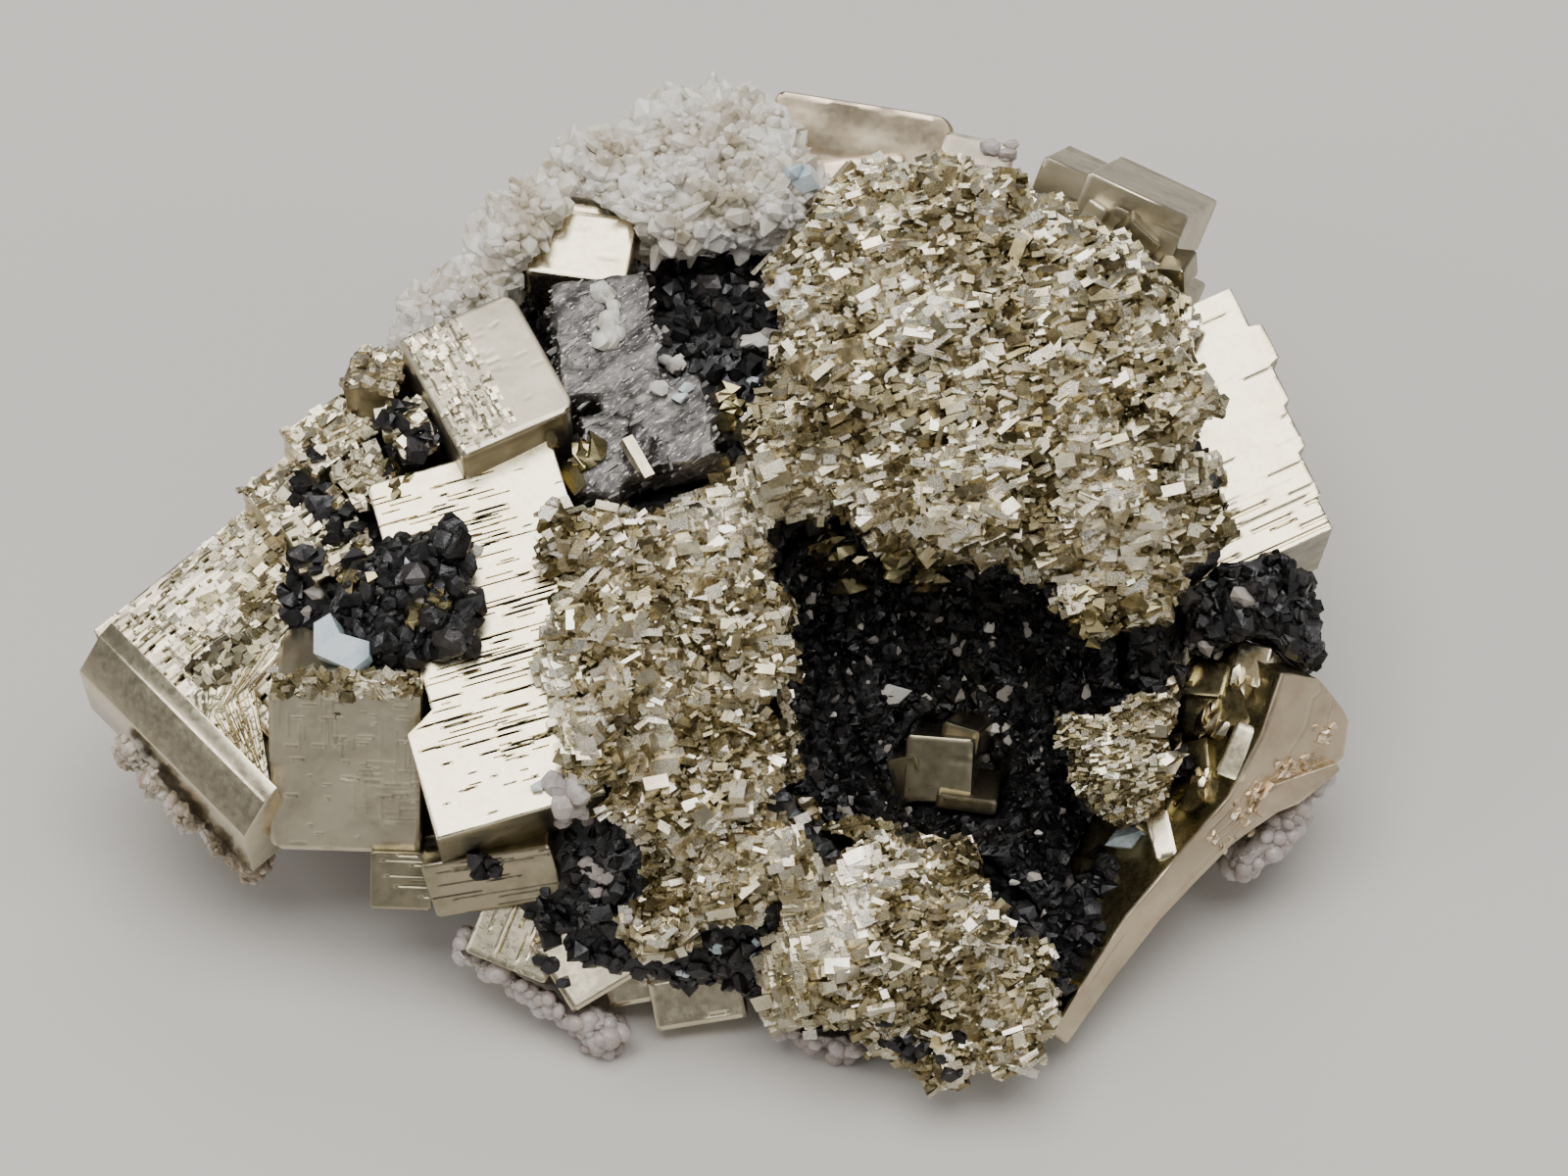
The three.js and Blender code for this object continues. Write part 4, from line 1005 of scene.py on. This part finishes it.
# each grain is its pixel, its sides in mm and its roll in degrees; a group without corners is of boxes
singleGrains = {
    "largerPyriteCrystals": {
        "slot": "pyrite_crystal", "material": brightPyrite, "seed": 41,
        "grains": [
            ((965, 180), (1, 2, 1.6), 4), ((820, 368), (2.6, 1, 1.2), 28),
            ((838, 380), (2.4, 0.7, 1), 30), ((870, 360), (1.5, 1.3, 1.4), 20),
            ((650, 468), (0.6, 2.4, 0.7), 16), ((738, 470), (1.1, 0.8, 1), 10),
            ((752, 440), (0.9, 1.6, 1), -22), ((930, 430), (1.5, 0.7, 1), 24),
            ((700, 560), (1.3, 0.7, 1), 14), ((1090, 470), (1.1, 0.7, 1), 8),
            ((890, 250), (1.3, 0.6, 0.8), 16), ((1000, 310), (1.4, 0.6, 0.8), 12),
            ((660, 690), (1.2, 0.8, 1), 20), ((603, 775), (1.2, 0.9, 1), 6),
            ((720, 830), (1.1, 0.8, 0.9), 30), ((880, 960), (1.3, 0.7, 1), 10),
            ((950, 1000), (1.1, 0.7, 1), -14), ((860, 900), (1, 0.7, 0.9), 18),
            ((1176, 745), (1.9, 0.7, 1), 4)]},
    "palePocketGrains": {
        "slot": "quartz", "material": quartz, "seed": 42, "corners": 14,
        "grains": [
            ((906, 710), (2.8, 1.3, 1.4), 4), ((945, 712), (1.2, 0.8, 0.9), 10),
            ((1020, 744), (3.4, 1.2, 1), 10), ((1005, 772), (0.9, 0.7, 0.7), 0),
            ((880, 640), (0.8, 0.7, 0.7), 0), ((1010, 640), (0.9, 0.9, 0.8), 0),
            ((985, 690), (0.8, 0.6, 0.7), 0), ((850, 730), (0.8, 0.6, 0.7), 0),
            ((1060, 850), (0.9, 0.6, 0.7), 0), ((1035, 900), (1, 0.6, 0.7), 0),
            ((700, 250), (1, 0.8, 0.9), 0), ((768, 350), (2, 1.2, 1.2), 8),
            ((690, 370), (1.6, 1.2, 1), 20), ((672, 395), (1.2, 1.1, 1), 0),
            ((625, 345), (1.2, 1.8, 0.9), 0), ((790, 300), (2.2, 1.4, 1.2), 12),
            ((484, 560), (1.6, 1.3, 1.2), 0)]},
    "roundQuartzBeads": {
        "slot": "quartz", "material": beadQuartz, "seed": 44, "corners": 40, "spread": 5, "around": 3,
        "grains": [
            ((566, 800), (1.4, 1.5, 1.2), 10), ((576, 822), (1.7, 1.6, 1.2), 0),
            ((588, 806), (1.3, 1.5, 1.1), 0), ((594, 830), (1.1, 1, 0.9), 20),
            ((574, 838), (1.3, 1, 1), 0), ((603, 885), (1, 1, 0.8), 0), ((612, 896), (0.9, 0.8, 0.8), 0),
            ((640, 938), (0.9, 0.7, 0.7), 20), ((1012, 152), (1.5, 1.2, 1.2), -20),
            ((1028, 158), (1.3, 1, 1.1), 0), ((872, 1066), (1.2, 0.8, 0.9), 0),
            ((1016, 610), (0.7, 0.6, 0.6), 0)]},
    "paleQuartzLumps": {
        "slot": "quartz", "material": quartz, "seed": 50, "corners": 30, "spread": 6, "around": 4,
        "grains": [
            ((618, 300), (1.5, 1.5, 1.2), 0), ((626, 322), (1.4, 1.5, 1.1), 0),
            ((622, 346), (1.2, 1.3, 1), 0), ((770, 350), (1.8, 1.3, 1.2), 0),
            ((688, 374), (1.1, 1.1, 1), 0), ((800, 290), (1.3, 1.2, 1), 0)]},
    # quartz grains, their blue-white colour a painted glint
    "bluishQuartzGrains": {
        "slot": "quartz", "material": paintedReflectionQuartz, "seed": 45, "corners": 14, "spread": 9, "around": 2,
        "grains": [
            ((822, 180), (2.2, 2, 1.6), 10), ((728, 970), (1.3, 0.9, 0.9), 16),
            ((768, 975), (1.1, 0.7, 0.8), 10), ((694, 993), (0.8, 0.6, 0.6), 0),
            ((1150, 858), (2.4, 2.4, 2.4), 8), ((700, 395), (1.6, 0.9, 0.9), 10),
            ((770, 390), (1.2, 0.9, 0.9), 0), ((560, 795), (0.9, 0.8, 0.8), 0),
            ((407, 588), (0.7, 0.6, 0.6), 0)]},
    "oliveHollowCrystals": {
        "slot": "pyrite_crystal", "material": olivePyrite, "seed": 46, "corners": 14, "spread": 10,
        "around": 7,
        "grains": [
            ((842, 556), (2.4, 1.3, 1.9), 36), ((872, 574), (2.6, 1.5, 1.9), 10),
            ((912, 570), (2.4, 1.5, 1.9), 40), ((942, 588), (2, 1.1, 1.7), 8),
            ((1084, 612), (2.1, 1.3, 1.8), 16), ((1112, 632), (2, 1.3, 1.7), 4),
            ((1165, 628), (1.8, 1.2, 1.7), 24), ((786, 500), (1.6, 1.3, 1.3), 20),
            ((745, 415), (1.7, 1.4, 1.3), -12), ((592, 462), (1.6, 2.1, 1.4), 20),
            ((424, 632), (1.3, 1, 1.2), 40), ((352, 588), (1.4, 1, 1.2), 30),
            ((404, 486), (1.6, 1, 1.2), 60), ((444, 610), (1.1, 0.9, 1.1), 10)]},
    "plateCrystals": {
        "slot": "pyrite_crystal", "material": facetPyrite, "seed": 48, "corners": 14, "spread": 9,
        "around": 4,
        "grains": [
            ((1212, 690), (2.2, 1, 1.4), 50), ((1236, 735), (2.4, 1.1, 1.5), 62),
            ((1205, 770), (2, 1, 1.3), 30), ((1226, 800), (1.8, 0.9, 1.3), 70),
            ((1262, 690), (1.8, 0.9, 1.2), 80), ((1196, 720), (1.7, 1, 1.2), 20)]},
    "plateEdgeGrains": {
        "slot": "pyrite_crystal", "material": satinPyrite, "seed": 51, "corners": 14, "spread": 7,
        "around": 12,
        "grains": [
            ((1352, 752), (0.9, 0.6, 0.7), 30), ((1334, 776), (1, 0.6, 0.7), 40),
            ((1312, 792), (0.9, 0.6, 0.7), 40), ((1288, 812), (1, 0.6, 0.7), 40),
            ((1266, 836), (0.8, 0.5, 0.6), 45), ((1246, 862), (0.7, 0.5, 0.6), 50)]},
    "plateSphalerite": {
        "slot": "sphalerite", "material": speckledSphalerite, "seed": 49, "corners": 14, "spread": 7,
        "around": 15,
        "grains": [
            ((1092, 975), (1.7, 1.3, 1.3), 0), ((1098, 952), (1.8, 1.4, 1.3), 0),
            ((1106, 928), (1.8, 1.4, 1.3), 0), ((1116, 905), (1.8, 1.5, 1.4), 0),
            ((1130, 884), (1.7, 1.4, 1.4), 0), ((1086, 998), (1.5, 1.2, 1.2), 0),
            ((1112, 950), (1.4, 1.1, 1.2), 0)]},
    "drusePatches": {
        "slot": "pyrite_druse", "material": drusePyrite, "seed": 47, "spread": 9, "around": 34,
        "grains": [
            ((1216, 488), (1.3, 0.6, 1), 12), ((1228, 478), (1.1, 0.5, 0.8), 12),
            ((1096, 606), (1.1, 0.6, 0.8), 14), ((800, 860), (1, 0.6, 0.7), 16),
            ((574, 705), (1, 0.6, 0.7), 14), ((582, 732), (1, 0.6, 0.7), 14),
            ((570, 680), (1, 0.5, 0.7), 10), ((590, 756), (1, 0.6, 0.7), 14),
            ((666, 760), (1.6, 0.9, 1.3), 16), ((664, 782), (1.6, 0.9, 1.3), 10),
            ((782, 488), (1.3, 0.8, 1.3), 16), ((764, 504), (1.3, 0.8, 1.3), 16),
            ((744, 506), (1.3, 0.8, 1.3), 12), ((722, 526), (1.3, 0.8, 1.2), 14),
            ((748, 520), (1.3, 0.8, 1.2), 14), ((776, 524), (1.3, 0.8, 1.3), 14),
            *alike((1.2, 0.7, 1.2), 14, (702, 528), (736, 534), (758, 540)),
            *alike(
                (1.3, 0.8, 1.3), 14, (812, 958), (798, 984), (824, 976), (808, 1004), (830, 1002),
                (846, 984), (862, 962), (870, 938), (868, 912), (872, 888), (822, 938), (818, 912),
                (816, 886)),
            ((800, 1028), (1.2, 0.8, 1.2), 14), ((820, 1026), (1.2, 0.8, 1.2), 14)]},
    "scatteredSphalerite": {
        "slot": "sphalerite", "material": sphalerite, "seed": 43, "corners": 14, "spread": 12,
        "around": 5,
        "grains": [
            ((312, 492), (2.2, 1.8, 1.8), 0), ((326, 512), (2.2, 1.8, 1.8), 0),
            ((352, 546), (1.9, 1.6, 1.6), 0), ((318, 566), (2.1, 1.7, 1.7), 0),
            ((340, 528), (1.7, 1.5, 1.5), 0), ((408, 432), (2.1, 1.8, 1.7), 0),
            ((430, 452), (2.1, 1.7, 1.7), 0), ((404, 462), (1.7, 1.5, 1.5), 0),
            ((500, 880), (1.6, 1.3, 1.4), 0), ((560, 935), (1.7, 1.4, 1.4), 0),
            ((560, 985), (1.5, 1.3, 1.4), 0), ((610, 930), (1.8, 1.4, 1.4), 0),
            ((930, 1075), (1.6, 1.2, 1.4), 0), ((900, 1065), (1.4, 1.1, 1.2), 0),
            ((960, 1080), (1.4, 1.1, 1.2), 0)]}}
looseGrains = {"roll": 12, "tilt": 28, "size": (0.6, 1.1)}  # how far they stray from what is given


def placeAt(pixel):
    perPixel = view["sensor"] / view["lens"] * view["distance"] / view["picture"][0]
    across, down = (side / 2 for side in view["picture"])
    start = toMetres @ Vector((0, 0, view["distance"]))
    aim = toMetres @ Vector(((pixel[0] - across) * perPixel, (down - pixel[1]) * perPixel, 0))
    hits = [tree.ray_cast(start, aim - start) for tree in solidTrees.values()]
    hits = [hit for hit in hits if hit[0] is not None]
    return min(hits, key=lambda hit: hit[3])[0] if hits else None


def makeSingleGrains(name, own):
    random = np.random.default_rng(own["seed"])
    grown, roll, tilt = Grown(), looseGrains["roll"], looseGrains["tilt"]
    for pixel, size, ownRoll in own["grains"]:
        for copy in range(own.get("around", 1)):
            offset = random.normal(size=2) * own.get("spread", 0) * (copy > 0)
            point = placeAt((pixel[0] + offset[0], pixel[1] + offset[1]))
            if point is None:
                continue
            spot = Matrix.Translation(toMetres.inverted() @ point)
            turn = turned(ownRoll + random.uniform(-roll, roll), *random.uniform(-tilt, tilt, 2))
            sides = np.array(size) * random.uniform(*looseGrains["size"])
            if "corners" in own:
                points, faces = stone(random, own["corners"])
                grown.add(spot @ turn, np.array(points) * sides, faces, random.uniform(0.5, 0.8))
            else:
                grown.add(spot @ turn, boxCorners(-sides / 2, sides / 2), boxFaces, random.uniform(0.4, 0.9))
    return grown.toObject(name, [own["material"]])


for name, own in singleGrains.items():
    finishPiece(makeSingleGrains(name, own), own["slot"])
print("single grains set")

# Floor, light and camera
studio = {
    "floorSide": 3.0,
    "floorColour": "#cfcbc5",
    "worldColour": "#8f8e8b",
    "worldStrength": 0.7,
    "target": (0, 0, 0.01),
    "lights": [  # where it stands, its sides and its power
        ("overhead", (0.0, -0.02, 0.5), (0.5, 0.36), 2.9),
        ("back", (0.02, 0.42, 0.5), (0.3, 0.2), 0.7),
        ("left", (-0.5, -0.2, 0.35), (0.2, 0.3), 0.8),
        ("right", (0.55, -0.15, 0.3), (0.1, 0.3), 0.5),
        ("front", (0.1, -0.6, 0.25), (0.3, 0.1), 0.3),
    ],
}


def makeStudio(own):
    half = own["floorSide"] / 2
    mesh = bpy.data.meshes.new("paleFloor")
    corners = [(-half, -half, 0), (half, -half, 0), (half, half, 0), (-half, half, 0)]
    mesh.from_pydata(corners, [], [(0, 1, 2, 3)])
    paper = newMaterial("paleMattPaper", Roughness=0.9, Base_Color=linear(own["floorColour"]))
    mesh.materials.append(paper[0])
    bringIn("paleFloor", mesh)
    world = bpy.data.worlds.new("softRoom")
    world.use_nodes = True
    feed(world.node_tree, world.node_tree.nodes["Background"],
         {"Color": linear(own["worldColour"]), "Strength": own["worldStrength"]})
    bpy.context.scene.world = world
    for name, place, sides, power in own["lights"]:
        lamp = bpy.data.lights.new(name, "AREA")
        lamp.shape = "RECTANGLE"
        lamp.size, lamp.size_y = sides
        lamp.energy = power
        item = bringIn(name, lamp)
        item.location = place
        item.rotation_mode = "QUATERNION"
        item.rotation_quaternion = (Vector(own["target"]) - Vector(place)).to_track_quat("-Z", "Y")


def makeCamera(own):
    camera = bpy.data.cameras.new("camera")
    camera.lens, camera.sensor_width = own["lens"], own["sensor"]
    camera.clip_start = 0.01
    item = bringIn("camera", camera)
    stand = showMatrix @ Matrix.Translation((0, 0, own["distance"]))
    turn = stand.to_quaternion().to_matrix().to_4x4()
    item.matrix_world = Matrix.Translation(stand.translation * mm) @ turn
    bpy.context.scene.camera = item


makeStudio(studio)
makeCamera(view)
print("studio ready")
